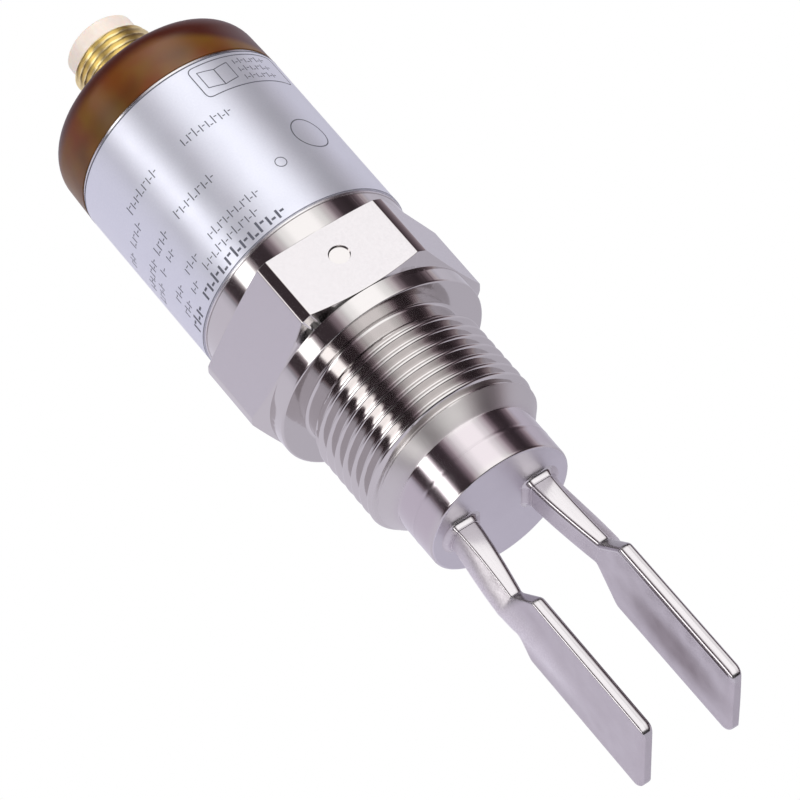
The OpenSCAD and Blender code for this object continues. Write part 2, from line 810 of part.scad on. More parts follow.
// Threaded sleeve, put in from inside the head until its flange stops it
module connector_sleeve() {
    rim = 0.5;
    low = head_in_z - sleeve_flange_t;
    color("#c89f4a")
    difference() {
        rotate_extrude()
            polygon([[bore_in, low], [flange_r, low], [flange_r, head_in_z], [seat_r, head_in_z],
                     [seat_r, head_z], [plug_r, head_z],
                     [plug_r, sleeve_z - rim], [plug_r - rim, sleeve_z], [bore_in, sleeve_z]]);
        tube_ring(sleeve_seal_r + sleeve_seal_d / 2, sleeve_seal_r - sleeve_seal_d / 2,
                  head_in_z - sleeve_seal_d * squeeze, head_in_z + past);
    }
}

// Small O-ring pressed between the sleeve's flange and the head
module sleeve_seal() {
    color("#1d1d1f")
    rotate_extrude()
        translate([sleeve_seal_r, head_in_z - sleeve_seal_d * squeeze / 2])
            intersection() {
                circle(d = sleeve_seal_d - 2 * slip);
                square([2 * sleeve_seal_d, sleeve_seal_d * squeeze], center = true);
            }
}

// Moulded insert that fills the sleeve up to the floor of the plug recess and holds the four pins
module contact_carrier() {
    body_r = bore_in - slip;
    color("#e6dcc0")
    difference() {
        rotate_extrude()
            polygon([[0, carrier_z], [flange_r, carrier_z], [flange_r, carrier_z + carrier_flange_t],
                     [body_r, carrier_z + carrier_flange_t], [body_r, recess_z], [0, recess_z]]);
        for (a = pin_angles)
            rotate(a)
                translate([pin_r, 0, carrier_z - past])
                    cylinder(d = pin_d + 2 * slip, h = recess_z - carrier_z + 2 * past);
    }
}

// Moulded collar round the plug recess, with the coding rib, lapping over the end of the sleeve
module plug_shroud() {
    body_r = bore_in - slip;
    collar = bore_in + carrier_lap;
    rim = 0.3;
    rib = [0.9, 0.7];
    color("#e6dcc0")
    union() {
        rotate_extrude()
            polygon([[recess_r, recess_z], [body_r, recess_z], [body_r, sleeve_z], [collar, sleeve_z],
                     [collar, carrier_top - rim], [collar - rim, carrier_top], [recess_r, carrier_top]]);
        translate([-rib.x / 2, recess_r - rib.y, recess_z])
            cube([rib.x, rib.y + recess_wall / 2, recess_depth - 2 * rim]);
    }
}

module contact_pins() {
    tip = carrier_top - pin_sink - pin_d / 2;
    color("#d8b25a")
    for (a = pin_angles)
        rotate(a)
            translate([pin_r, 0, 0]) {
                translate([0, 0, tail_z]) cylinder(d = pin_d, h = tip - tail_z);
                translate([0, 0, tip]) sphere(d = pin_d);
            }
}

// Leads from the pins' solder tails down onto both faces of the board
module connector_leads() {
    spread = 1.5;
    solder = 2.6;
    color("#5a4632")
    for (a = pin_angles)
        let (
            x = pin_r * cos(a),
            y = pin_r * sin(a),
            x_pad = x * spread,
            y_pad = sign(y) * lead_y
        )
        lead(concat(
            s_bend([x_pad, y_pad, board_top - solder], [x_pad, y_pad, board_top], 1),
            s_bend([x_pad, y_pad, board_top + lead_drop * 0.15], [x, y, tail_z - lead_drop * 0.15], 6),
            [[x, y, tail_z]]
        ));
}

process_fitting();
tuning_fork();
pressure_ring();
insulating_rings();
electrode_plates();
piezo_discs();
insulating_sleeve();
pressure_washer();
disc_spring();
clamp_bolt();
clamp_nut();
piezo_leads();
board_carrier();
circuit_board();
microcontroller();
output_transistors();
storage_capacitors();
chip_resistors();
test_sensor();
status_leds();
tube_seal();
housing_tube();
label_foil();
head_cap();
cap_seal();
connector_sleeve();
sleeve_seal();
contact_carrier();
plug_shroud();
contact_pins();
connector_leads();
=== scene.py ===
import math

import bmesh
import bpy
from mathutils import Matrix, Vector


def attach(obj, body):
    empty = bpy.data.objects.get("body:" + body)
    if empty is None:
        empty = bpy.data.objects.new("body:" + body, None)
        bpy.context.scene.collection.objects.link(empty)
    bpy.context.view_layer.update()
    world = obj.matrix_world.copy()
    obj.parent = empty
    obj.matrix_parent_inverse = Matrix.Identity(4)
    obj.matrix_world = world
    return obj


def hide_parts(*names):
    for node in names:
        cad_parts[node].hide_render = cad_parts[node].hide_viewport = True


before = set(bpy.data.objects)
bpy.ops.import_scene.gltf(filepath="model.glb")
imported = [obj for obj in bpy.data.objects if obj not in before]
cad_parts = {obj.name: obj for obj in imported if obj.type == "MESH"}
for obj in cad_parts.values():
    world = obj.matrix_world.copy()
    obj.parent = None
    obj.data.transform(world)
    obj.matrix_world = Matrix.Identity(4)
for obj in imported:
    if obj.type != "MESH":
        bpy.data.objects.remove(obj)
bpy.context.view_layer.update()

# Process fitting.
# The body of the switch is turned from one bar of stainless steel: nose, G 3/4 thread, relief neck,
# sealing collar and the spigot that carries the tube. The six wrench flats are milled afterwards.
MM = 0.001
NOSE_R = 10.75
WELD_Z = -18.5
WELD_RISE = 0.04
WELD_HALF = 0.35
LEAD_IN_Z = -15.0
LEAD_IN_LEN = 2.8
THREAD_R = 13.22
THREAD_PITCH = 1.814
THREAD_ROUND = 0.2491
NECK_R = 11.85
SEAL_Z = 3.5
COLLAR_R = 15.85
COLLAR_Z = 6.3
FLAT_R = 16.0
CORNER_R = 18.048
FLAT_EDGE = math.degrees(math.acos(FLAT_R / CORNER_R))
LOWER_CHAMFER = math.tan(math.radians(20))
UPPER_CHAMFER = math.tan(math.radians(6))
HEX_Z = 17.4
BAND_R = 15.7
TUBE_Z = 20.9
SPIGOT_R = 14.82
SPIGOT_Z = 26.9
GROOVE_R = 13.65
GROOVE_LOW = 22.95
GROOVE_HIGH = 24.85
CAVITY_R = 11.97
FLOOR_Z = 9.0
BORE_R = 8.4
LIP_SEAT_R = 9.33
LIP_SEAT_Z = -17.47
MARK_D = 3.2
MARK_FLOOR_D = 2.7
MARK_DEPTH = 0.3
MARK_Z = 12.627
EDGE_BREAK = 0.08
SAME_POINT = 0.0005
SHARP_DEG = 34


def linear(colour):
    """An sRGB hex colour as linear red, green and blue with a full alpha."""
    parts = [int(colour[i:i + 2], 16) / 255 for i in (1, 3, 5)]
    return [v / 12.92 if v <= 0.04045 else ((v + 0.055) / 1.055) ** 2.4 for v in parts] + [1.0]


def plug(node, links):
    """Each input gets its value, or a link from an output or from another node's first output."""
    for socket, value in links.items():
        if isinstance(value, bpy.types.Node):
            value = value.outputs[0]
        if isinstance(value, bpy.types.NodeSocket):
            node.id_data.links.new(value, node.inputs[socket])
        else:
            node.inputs[socket].default_value = value


def add(tree, kind, links=None, **settings):
    """One shader node with its settings and with what goes into its inputs."""
    node = tree.nodes.new("ShaderNode" + kind)
    for name, value in settings.items():
        setattr(node, name, value)
    plug(node, links or {})
    return node


def finish(name, colour, metallic, roughness, **sockets):
    """A new material with its plain values set, and what its patterns need: tree, shader, coordinates."""
    material = bpy.data.materials.new(name)
    material.use_nodes = True
    tree = material.node_tree
    shader = tree.nodes["Principled BSDF"]
    shader.inputs["Base Color"].default_value = linear(colour)
    shader.inputs["Metallic"].default_value = metallic
    shader.inputs["Roughness"].default_value = roughness
    for socket, value in sockets.items():
        shader.inputs[socket.replace("_", " ")].default_value = value
    return material, tree, shader, add(tree, "TexCoord").outputs["Object"]


def rounded(outline, steps=3):
    """A closed outline of (x, y, ease) with each corner eased; a corner with no ease stays one point."""
    path = []
    for i, (x, y, ease) in enumerate(outline):
        here = Vector((x, y))
        if ease is None:
            path.append(here)
            continue
        back = Vector(outline[i - 1][:2]) - here
        ahead = Vector(outline[(i + 1) % len(outline)][:2]) - here
        start = here + back.normalized() * min(ease, 0.45 * back.length)
        end = here + ahead.normalized() * min(ease, 0.45 * ahead.length)
        for k in range(steps + 1):
            t = k / steps
            path.append(start * (1 - t) ** 2 + here * (2 * t * (1 - t)) + end * t * t)
    return path


def new_piece(name, mesh, *materials):
    """A mesh as a piece of the switch that moves with its one body."""
    for material in materials:
        mesh.materials.append(material)
    mesh.shade_smooth()
    piece = bpy.data.objects.new(name, mesh)
    bpy.context.scene.collection.objects.link(piece)
    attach(piece, "root")
    return piece


def bridge(shape, here, there):
    """Faces from one ring of corners to the next."""
    corners = zip(here, there, there[1:] + there[:1], here[1:] + here[:1])
    return [shape.faces.new(four) for four in corners]


def closed_mesh(name, shape):
    """The finished shape as a mesh with its faces turned outward."""
    bmesh.ops.recalc_face_normals(shape, faces=shape.faces)
    mesh = bpy.data.meshes.new(name)
    shape.to_mesh(mesh)
    shape.free()
    return mesh


def turned(name, angles, outline_at):
    """A closed mesh turned about Z; outline_at gives the outline in millimetres at each angle."""
    shape = bmesh.new()
    columns = []
    for a in angles:
        x, y = math.cos(a), math.sin(a)
        columns.append([shape.verts.new((p.x * x * MM, p.x * y * MM, p.y * MM))
                        for p in rounded(outline_at(a))])
    for here, there in zip(columns, columns[1:] + columns[:1]):
        bridge(shape, here, there)
    bmesh.ops.remove_doubles(shape, verts=shape.verts, dist=SAME_POINT * MM)
    return closed_mesh(name, shape)


def even_shading(piece, sharp_deg=SHARP_DEG):
    """Sharp edges stay, and large faces keep their own normal, so that only small edge breaks look round."""
    piece.data.set_sharp_from_angle(angle=math.radians(sharp_deg))
    piece.modifiers.new("even_shading", "WEIGHTED_NORMAL").keep_sharp = True


def whitworth_depth(along):
    """Depth of the rounded 55 degree thread below its crest, at a distance along from the crest."""
    half = math.radians(27.5)
    run = THREAD_ROUND * math.cos(half)
    drop = THREAD_ROUND * (1 - math.sin(half))
    full = 2 * drop + (THREAD_PITCH / 2 - 2 * run) / math.tan(half)
    if along < run:
        return THREAD_ROUND - math.sqrt(THREAD_ROUND ** 2 - along ** 2)
    if along > THREAD_PITCH / 2 - run:
        return full - THREAD_ROUND + math.sqrt(THREAD_ROUND ** 2 - (THREAD_PITCH / 2 - along) ** 2)
    return drop + (along - run) / math.tan(half)


def from_crest(z, angle, pitch):
    """Distance along the axis to the nearest crest of a right-hand thread."""
    turn = z / pitch - angle / (2 * math.pi)
    return abs(turn - round(turn)) * pitch


def fitting_outline(angle):
    """The fitting's closed outline at one angle, from the weld up the outside and down the bore."""
    off_flat = (math.degrees(angle) + 90 + 30) % 60 - 30
    reach = min(FLAT_R / math.cos(math.radians(off_flat)), CORNER_R)
    if abs(abs(off_flat) - FLAT_EDGE) < 0.01:
        reach -= 0.2 * EDGE_BREAK
    outline = [
        (LIP_SEAT_R, WELD_Z, 0.02), (NOSE_R + WELD_RISE, WELD_Z, 0.02),
        (NOSE_R, WELD_Z + WELD_HALF, 0.2), (NOSE_R, LEAD_IN_Z, 0.15),
    ]
    thread_rows = 180
    low = LEAD_IN_Z + 0.2
    high = THREAD_R - NECK_R
    for i in range(thread_rows + 1):
        z = low + (high - low) * i / thread_rows
        crest = THREAD_R - whitworth_depth(from_crest(z, angle, THREAD_PITCH))
        lead_in = NOSE_R + (z - LEAD_IN_Z) * (THREAD_R - NOSE_R) / LEAD_IN_LEN
        outline.append((min(crest, lead_in, THREAD_R - z), z, None))
    return outline + [
        (NECK_R, SEAL_Z, 0.5), (COLLAR_R, SEAL_Z, 0.3), (COLLAR_R, COLLAR_Z, 0.05),
        (reach, COLLAR_Z + (reach - COLLAR_R) * LOWER_CHAMFER, EDGE_BREAK),
        (reach, HEX_Z - (reach - FLAT_R) * UPPER_CHAMFER, EDGE_BREAK),
        (FLAT_R, HEX_Z, 0.02), (BAND_R, HEX_Z, 0.05), (BAND_R, TUBE_Z, EDGE_BREAK),
        (SPIGOT_R, TUBE_Z, 0.05), (SPIGOT_R, GROOVE_LOW, 0.05), (GROOVE_R, GROOVE_LOW, 0.05),
        (GROOVE_R, GROOVE_HIGH, 0.05), (SPIGOT_R, GROOVE_HIGH, 0.05), (SPIGOT_R, SPIGOT_Z, 0.3),
        (CAVITY_R, SPIGOT_Z, 0.2), (CAVITY_R, FLOOR_Z, 0.2), (BORE_R, FLOOR_Z, 0.2),
        (BORE_R, LIP_SEAT_Z, 0.05), (LIP_SEAT_R, LIP_SEAT_Z, 0.05),
    ]


# The columns of the mesh fall on the edges of the flats, with one close on each side for the edge break.
flat_steps = 34
corner_steps = 4
edge_side = 0.3
sector = [-FLAT_EDGE + 2 * FLAT_EDGE * i / flat_steps for i in range(flat_steps + 1)]
sector += [FLAT_EDGE + (60 - 2 * FLAT_EDGE) * i / corner_steps for i in range(1, corner_steps)]
sector += [side * FLAT_EDGE + d for side in (-1, 1) for d in (-edge_side, edge_side)]
sector.sort()
fitting_angles = [math.radians(-90 + 60 * k + s) for k in range(6) for s in sector]

# Turned stainless steel: a bright grey mirror broken by fine feed lines round the axis. The lead-in cone
# of the thread is duller, and a band beside the weld is a little darker from the heat.
turned_steel, tree, shader, place = finish("turned_stainless_steel", "#cbc7c6", 1.0, 0.1)
FEED_LINE = 0.25  # the real feed of about 0.1 mm is too fine to show, so it is drawn coarser
HEAT_NEAR = 2.5
HEAT_FAR = 4.5
MID_NOISE = {"From Min": 0.3, "From Max": 0.7}  # most of a noise lies between these
axes = add(tree, "SeparateXYZ", {"Vector": place})
across = add(tree, "VectorMath", {0: place, 1: (1, 1, 0)}, operation="MULTIPLY")
radius = add(tree, "VectorMath", {0: across}, operation="LENGTH")
along = add(tree, "Math", {0: radius.outputs["Value"], 1: 0.7, 2: axes.outputs["Z"]},
            operation="MULTIPLY_ADD")
feed = add(tree, "TexNoise", {"W": along, "Scale": 1 / (FEED_LINE * MM), "Detail": 2.0},
           noise_dimensions="1D")
handling = add(tree, "TexNoise", {"Vector": place, "Scale": 1 / (6 * MM), "Detail": 4.0})
from_weld = add(tree, "Math", {0: axes.outputs["Z"], 1: WELD_Z * MM}, operation="SUBTRACT")
off_weld = add(tree, "Math", {0: from_weld}, operation="ABSOLUTE")
heat = add(tree, "MapRange", {"Value": off_weld, "From Min": HEAT_FAR * MM, "From Max": HEAT_NEAR * MM},
           interpolation_type="SMOOTHSTEP")
dull = add(tree, "MapRange", {"Value": handling, **MID_NOISE, "To Min": 0.07, "To Max": 0.12})
on_cone = add(tree, "Math", {0: axes.outputs["Z"], 1: (LEAD_IN_Z + LEAD_IN_LEN / 2) * MM,
                             2: LEAD_IN_LEN / 2 * MM}, operation="COMPARE")
dull_cone = add(tree, "Math", {0: on_cone, 1: 0.24, 2: dull}, operation="MULTIPLY_ADD")
duller = add(tree, "Math", {0: heat, 1: 0.04, 2: dull_cone}, operation="MULTIPLY_ADD")
tinted = add(tree, "Mix", {"Factor": heat, "A": linear("#cbc7c6"), "B": linear("#c4bcc0")},
             data_type="RGBA")
ridges = add(tree, "Bump", {"Strength": 0.4, "Distance": 0.004 * MM, "Height": feed})
plug(shader, {"Base Color": tinted.outputs["Result"], "Roughness": duller, "Normal": ridges})

# Milled stainless steel: the flats are a softer grey, with a fine even grain from the face cutter.
milled_steel, tree, shader, place = finish("milled_stainless_steel", "#ccc8ca", 1.0, 0.22)
CUTTER_LINE = 0.22  # drawn coarser than the real 0.05 mm so that it shows
lined = add(tree, "Mapping", {"Vector": place, "Scale": (0.06, 0.06, 1.0)})
cutter = add(tree, "TexNoise", {"Vector": lined, "Scale": 1 / (CUTTER_LINE * MM), "Detail": 2.0})
grain = add(tree, "TexNoise", {"Vector": place, "Scale": 1 / (0.3 * MM), "Detail": 3.0})
both = add(tree, "Math", {0: cutter, 1: grain}, operation="ADD")
sheen = add(tree, "MapRange", {"Value": grain, **MID_NOISE, "To Min": 0.18, "To Max": 0.26})
ridges = add(tree, "Bump", {"Strength": 0.3, "Distance": 0.002 * MM, "Height": both})
plug(shader, {"Roughness": sheen, "Normal": ridges})

fitting_mesh = turned("fitting_body", fitting_angles, fitting_outline)
fitting = new_piece("fitting_body", fitting_mesh, turned_steel, milled_steel)

# The mark that shows how the tines stand is a shallow flat-bottomed recess in the middle of one flat.
recess = bmesh.new()
bmesh.ops.create_cone(recess, cap_ends=True, segments=96, radius1=MARK_D / 2 * MM,
                      radius2=MARK_FLOOR_D / 2 * MM, depth=2 * MARK_DEPTH * MM)
mark_cutter = bpy.data.objects.new("mark_cutter", closed_mesh("mark_cutter", recess))
on_the_flat = Matrix.Translation(Vector((0, -FLAT_R, MARK_Z)) * MM)
mark_cutter.matrix_world = on_the_flat @ Matrix.Rotation(-math.pi / 2, 4, "X")
bpy.context.scene.collection.objects.link(mark_cutter)
cut = fitting.modifiers.new("mark", "BOOLEAN")
cut.operation = "DIFFERENCE"
cut.solver = "EXACT"
cut.object = mark_cutter
bpy.context.view_layer.update()
marked = bpy.data.meshes.new_from_object(fitting.evaluated_get(bpy.context.evaluated_depsgraph_get()))
fitting.modifiers.clear()
fitting.data = marked
bpy.data.objects.remove(mark_cutter)
marked.shade_smooth()
for face in marked.polygons:
    middle = face.center / MM
    on_flat = abs(face.normal.z) < 0.02 and abs(middle.dot(face.normal) - FLAT_R) < 0.02
    face.material_index = 1 if on_flat and COLLAR_Z < middle.z < HEX_Z else 0
even_shading(fitting)
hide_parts("process_fitting")

# Fork.
# The nose, its thin diaphragm and the two tines are one investment casting in stainless steel.
# The nose is turned after casting and welded to the fitting; the tines keep their blasted skin.
FACE_Z = -22.4
NOSE_EDGE = 0.4
DIAPHRAGM_Z = -20.9
LIP_R = 9.3
LIP_Z = -17.5
BOSS_R = 3.2
BOSS_Z = -18.1
STUD_R = 2.03
STUD_Z = -19.92
TIP_Z = -63.0
STEM_IN = 4.15
SHOULDER_IN = 5.75
PADDLE_LEAN = 0.1
LEAN_BEND = 1.3
STEM_SIDE = 3.3
PADDLE_T = 2.0
STEM_W = 4.9
STEM_CROWN = 1.7
ROOT_CROWN = 0.45
SWELL_END = 0.9
PADDLE_W = 13.8
PADDLE_CROWN = 0.12
BACK_POWER = 1.7
RIDGE_SPREAD = 1.3
STEM_ROUND = 0.441
PADDLE_ROUND = 0.48
INNER_SOFT = 0.3
TIP_R = 1.5
TIP_INSET = 0.6
ROOT_FILLET = 0.95
SHOULDER_Z = -34.9
PADDLE_Z = -40.0
SEAM_RISE = 0.03
FADE_Z = -57.25
ROOT_STEP = 0.1


def nose_outline(angle):
    """The cup of the nose: end face, outside, weld, locating lip, bore and the boss for the bolt."""
    return [
        (0.0, FACE_Z, None), (NOSE_R, FACE_Z, NOSE_EDGE), (NOSE_R, WELD_Z - WELD_HALF, 0.2),
        (NOSE_R + WELD_RISE, WELD_Z, 0.02), (LIP_R, WELD_Z, 0.02), (LIP_R, LIP_Z, 0.1),
        (BORE_R, LIP_Z, 0.1), (BORE_R, DIAPHRAGM_Z, 0.3), (BOSS_R, DIAPHRAGM_Z, 0.3),
        (BOSS_R, BOSS_Z, 0.1), (STUD_R, BOSS_Z, 0.1), (STUD_R, STUD_Z, 0.05), (0.0, STUD_Z, None),
    ]


def mix(a, b, t):
    return a + (b - a) * t


def eased(t):
    return t * t * (3 - 2 * t)


def ramp(t, soft=0.15):
    """A straight rise from 0 to 1 with a short soft start and end."""
    if t < soft:
        rise = t * t / (2 * soft)
    elif t > 1 - soft:
        rise = 1 - soft - (1 - t) ** 2 / (2 * soft)
    else:
        rise = t - soft / 2
    return rise / (1 - soft)


def back_crown(z):
    """Height of the crowned back over a tine's sides: it swells down the stem and fades on the paddle."""
    if z > SHOULDER_Z:
        swell = math.sin(math.pi / 2 * min(1, (FACE_Z - z) / (FACE_Z - SHOULDER_Z) / SWELL_END))
        return STEM_CROWN * mix(ROOT_CROWN, 1, swell)
    return mix(PADDLE_CROWN, STEM_CROWN, max(0, (z - FADE_Z) / (SHOULDER_Z - FADE_Z)) ** 2)


def back_profile(z, y, y_end):
    """Share of the crown at y from the middle: a round back that runs out as a ridge on the paddle."""
    round_back = 1 - (y / y_end) ** BACK_POWER
    along = max(0, (SHOULDER_Z - z) / (SHOULDER_Z - TIP_Z))
    ridge_half = mix(STEM_W / 2 + 0.6, PADDLE_W / 2, min(1, RIDGE_SPREAD * along))
    ridge = (1 + math.cos(math.pi * min(1, y / ridge_half))) / 2
    return mix(round_back, ridge, eased(min(1, max(0, (SHOULDER_Z - z) / (SHOULDER_Z - PADDLE_Z)))))


def paddle_in(z):
    """Distance from the axis to a paddle's inner face."""
    return SHOULDER_IN + PADDLE_LEAN * (SHOULDER_Z - z) / (SHOULDER_Z - TIP_Z)


def tine_ring(z, inner, side, crown, half, corner, seam):
    """One section of a tine: flat inner face, flat sides with the mould's seam, crowned back."""
    edge = inner + side
    corner = max(corner, 0.02)
    soft = corner + INNER_SOFT
    y_end = half - corner / 2
    x_end = edge - corner + corner * math.cos(math.radians(30))
    upper = []
    for i in range(7):
        a = math.radians(180 - 15 * i)
        upper.append((inner + soft + soft * math.cos(a), half - soft + soft * math.sin(a)))
    middle = (inner + soft + edge - corner) / 2
    width = min(0.14, 0.3 * (side - soft - corner))
    upper += [(middle - width, half), (middle, half + seam), (middle + width, half)]
    for i in range(5):
        a = math.radians(90 - 15 * i)
        upper.append((edge - corner + corner * math.cos(a), half - corner + corner * math.sin(a)))
    back_steps = 24
    for i in range(1, back_steps):
        s = 1 - i / back_steps
        y = y_end * s
        upper.append((edge - (edge - x_end) * s ** 8 + crown * back_profile(z, y, y_end), y))
    ring = upper + [(edge + crown, 0.0)] + [(x, -y) for x, y in reversed(upper)]
    return [Vector((x, y, z)) for x, y in ring]


def tine_sections():
    """The sections of one tine from inside the diaphragm down to the tip."""
    rings = []
    fillet_steps = 12
    for i in range(-1, fillet_steps + 1):
        a = math.pi / 2 * max(i, 0) / fillet_steps
        flare = ROOT_STEP + (ROOT_FILLET - ROOT_STEP) * (1 - math.sin(a))
        z = FACE_Z - ROOT_FILLET * (1 - math.cos(a)) + (0.5 if i < 0 else 0.0)
        rings.append(tine_ring(z, STEM_IN - flare, STEM_SIDE + 2 * flare, back_crown(z),
                               STEM_W / 2 + flare, STEM_ROUND + flare, 0.0))
    stem_steps = 40
    for i in range(stem_steps + 1):
        t = i / stem_steps
        z = mix(FACE_Z - ROOT_FILLET - 0.04, SHOULDER_Z, t)
        rings.append(tine_ring(z, mix(STEM_IN, SHOULDER_IN, t ** LEAN_BEND), mix(STEM_SIDE, PADDLE_T, t),
                               back_crown(z), STEM_W / 2, STEM_ROUND, 0.0))
    shoulder_steps = 40
    for i in range(1, shoulder_steps + 1):
        t = i / shoulder_steps
        z = mix(SHOULDER_Z, PADDLE_Z, t)
        rings.append(tine_ring(z, paddle_in(z), PADDLE_T, back_crown(z), mix(STEM_W, PADDLE_W, ramp(t)) / 2,
                               mix(STEM_ROUND, PADDLE_ROUND, t), SEAM_RISE * t))
    paddle_steps = 60
    for i in range(1, paddle_steps):
        z = mix(PADDLE_Z, TIP_Z + TIP_R, i / paddle_steps)
        rings.append(tine_ring(z, paddle_in(z), PADDLE_T, back_crown(z), PADDLE_W / 2, PADDLE_ROUND,
                               SEAM_RISE))
    tip_steps = 12
    for i in range(tip_steps + 1):
        a = math.pi / 2 * i / tip_steps
        inset = TIP_INSET * (1 - math.cos(a))
        z = TIP_Z + TIP_R * (1 - math.sin(a))
        rings.append(tine_ring(z, paddle_in(z) + inset, PADDLE_T - 2 * inset, PADDLE_CROWN * math.cos(a),
                               PADDLE_W / 2 - TIP_R * (1 - math.cos(a)), PADDLE_ROUND - inset,
                               SEAM_RISE * math.cos(a)))
    return rings


# Blasted cast stainless steel: a satin grey with a fine sparkling grain and soft, smeared highlights.
# The middle of each paddle's inner face is darkened with painted shade, and the round back carries a painted
# grainy sheen along its ridge.
cast_steel, tree, shader, place = finish("blasted_cast_stainless_steel", "#c6c0c4", 1.0, 0.42)
SHOT_GRAIN = 0.2  # the real pits are about 0.05 mm wide, drawn coarser so that they show
INNER_REACH = 6.5
PATCH_Y, PATCH_Z, PATCH_HALF_W, PATCH_HALF_LEN = 0.84, -51.6, 4.2, 12
RIDGE_Y, RIDGE_Z, RIDGE_HALF_W, RIDGE_HALF_LEN = 1.35, -35.2, 4.5, 16
pits = add(tree, "TexNoise", {"Vector": place, "Scale": 1 / (SHOT_GRAIN * MM), "Detail": 3.0})
waves = add(tree, "TexNoise", {"Vector": place, "Scale": 1 / (2.5 * MM), "Detail": 2.0})
soft = add(tree, "MapRange", {"Value": waves, **MID_NOISE, "To Min": 0.36, "To Max": 0.48})
dents = add(tree, "Bump", {"Strength": 0.5, "Distance": 0.012 * MM, "Height": pits})
swell = add(tree, "Bump", {"Strength": 0.4, "Distance": 0.06 * MM, "Height": waves, "Normal": dents})
apart = add(tree, "SeparateXYZ", {"Vector": place})
# Painted shade: a darker patch in the middle of each paddle's inner face, within INNER_REACH of the axis.
from_axis = add(tree, "Math", {0: apart.outputs["X"]}, operation="ABSOLUTE")
inside = add(tree, "Math", {0: from_axis, 1: INNER_REACH * MM}, operation="LESS_THAN")
shrunk = add(tree, "Mapping", {"Vector": place,
                               "Location": (0, -PATCH_Y / PATCH_HALF_W, -PATCH_Z / PATCH_HALF_LEN),
                               "Scale": (0, 1 / (PATCH_HALF_W * MM), 1 / (PATCH_HALF_LEN * MM))})
off_middle = add(tree, "VectorMath", {0: shrunk}, operation="LENGTH")
patch = add(tree, "MapRange", {"Value": off_middle.outputs["Value"], "From Min": 1.15, "From Max": 0.25},
            interpolation_type="SMOOTHSTEP")
painted_shade = add(tree, "Math", {0: patch, 1: inside}, operation="MULTIPLY")
skin = add(tree, "Mix", {"Factor": painted_shade, "A": linear("#c6c0c4"), "B": linear("#968c90")},
           data_type="RGBA")
# Painted sheen: a lighter, grainy streak along the round back of each paddle, away from the inner faces.
outside = add(tree, "Math", {0: 1.0, 1: inside}, operation="SUBTRACT")
drawn_out = add(tree, "Mapping", {"Vector": place,
                                  "Location": (0, -RIDGE_Y / RIDGE_HALF_W, -RIDGE_Z / RIDGE_HALF_LEN),
                                  "Scale": (0, 1 / (RIDGE_HALF_W * MM), 1 / (RIDGE_HALF_LEN * MM))})
off_ridge = add(tree, "VectorMath", {0: drawn_out}, operation="LENGTH")
painted_sheen_ridge = add(tree, "MapRange", {"Value": off_ridge.outputs["Value"], "From Min": 1.2, "From Max": 0.4},
             interpolation_type="SMOOTHSTEP")
sparkle = add(tree, "MapRange", {"Value": pits, "From Min": 0.35, "From Max": 0.65, "To Min": 0.4,
                                 "To Max": 1.0})
grainy_painted_sheen = add(tree, "Math", {0: painted_sheen_ridge, 1: sparkle}, operation="MULTIPLY")
painted_sheen = add(tree, "Math", {0: grainy_painted_sheen, 1: outside}, operation="MULTIPLY")
skin_with_painted_light = add(tree, "Mix", {"Factor": painted_sheen, "A": skin.outputs["Result"], "B": linear("#e8e3e6")},
                data_type="RGBA")
plug(shader, {"Base Color": skin_with_painted_light.outputs["Result"], "Roughness": soft, "Normal": swell})

# Ground stainless steel: the narrow sides of the tines and their edges are dressed on a belt, so they
# are brighter than the blasted skin, with fine lines along the tine.
ground_steel, tree, shader, place = finish("ground_stainless_steel", "#c9c5c7", 1.0, 0.19)
BELT_LINE = 0.25  # drawn coarser than the real 0.05 mm so that it shows
pulled = add(tree, "Mapping", {"Vector": place, "Scale": (1.0, 1.0, 0.08)})
belt = add(tree, "TexNoise", {"Vector": pulled, "Scale": 1 / (BELT_LINE * MM), "Detail": 2.0})
gloss = add(tree, "MapRange", {"Value": belt, **MID_NOISE, "To Min": 0.15, "To Max": 0.23})
ridges = add(tree, "Bump", {"Strength": 0.3, "Distance": 0.003 * MM, "Height": belt})
plug(shader, {"Roughness": gloss, "Normal": ridges})

# Lapped stainless steel: the end face round the roots is an even satin grey with soft reflections.
lapped_steel, tree, shader, place = finish("lapped_stainless_steel", "#d2ced4", 1.0, 0.34)
grit = add(tree, "TexNoise", {"Vector": place, "Scale": 1 / (0.25 * MM), "Detail": 2.0})
cloud = add(tree, "TexNoise", {"Vector": place, "Scale": 1 / (4 * MM), "Detail": 2.0})
soft = add(tree, "MapRange", {"Value": cloud, **MID_NOISE, "To Min": 0.3, "To Max": 0.4})
dents = add(tree, "Bump", {"Strength": 0.3, "Distance": 0.004 * MM, "Height": grit})
plug(shader, {"Roughness": soft, "Normal": dents})

round_angles = [2 * math.pi * i / 192 for i in range(192)]
TURNED, CAST, LAPPED, GROUND = range(4)
SIDE_FACES = 14  # faces of a section that make up one narrow side and its two edges
fork_mesh = turned("fork_casting", round_angles, nose_outline)
shape = bmesh.new()
shape.from_mesh(fork_mesh)
for side in (1, -1):
    grid = [[shape.verts.new(Vector((p.x * side, p.y, p.z)) * MM) for p in ring]
            for ring in tine_sections()]
    for end in (grid[0], grid[-1]):
        shape.faces.new(end).material_index = CAST
    for upper, lower in zip(grid, grid[1:]):
        last = len(upper) - 2
        for k, face in enumerate(bridge(shape, upper, lower)):
            face.material_index = GROUND if 0 <= min(k, last - k) < SIDE_FACES else CAST
bmesh.ops.remove_doubles(shape, verts=shape.verts, dist=SAME_POINT * MM)
bmesh.ops.recalc_face_normals(shape, faces=shape.faces)
shape.to_mesh(fork_mesh)
shape.free()
fork = new_piece("fork_casting", fork_mesh, turned_steel, cast_steel, lapped_steel, ground_steel)
for face in fork_mesh.polygons:
    if face.material_index == TURNED and face.normal.z < -0.9 and face.center.z < (FACE_Z + 0.1) * MM:
        face.material_index = LAPPED
even_shading(fork)
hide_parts("tuning_fork")

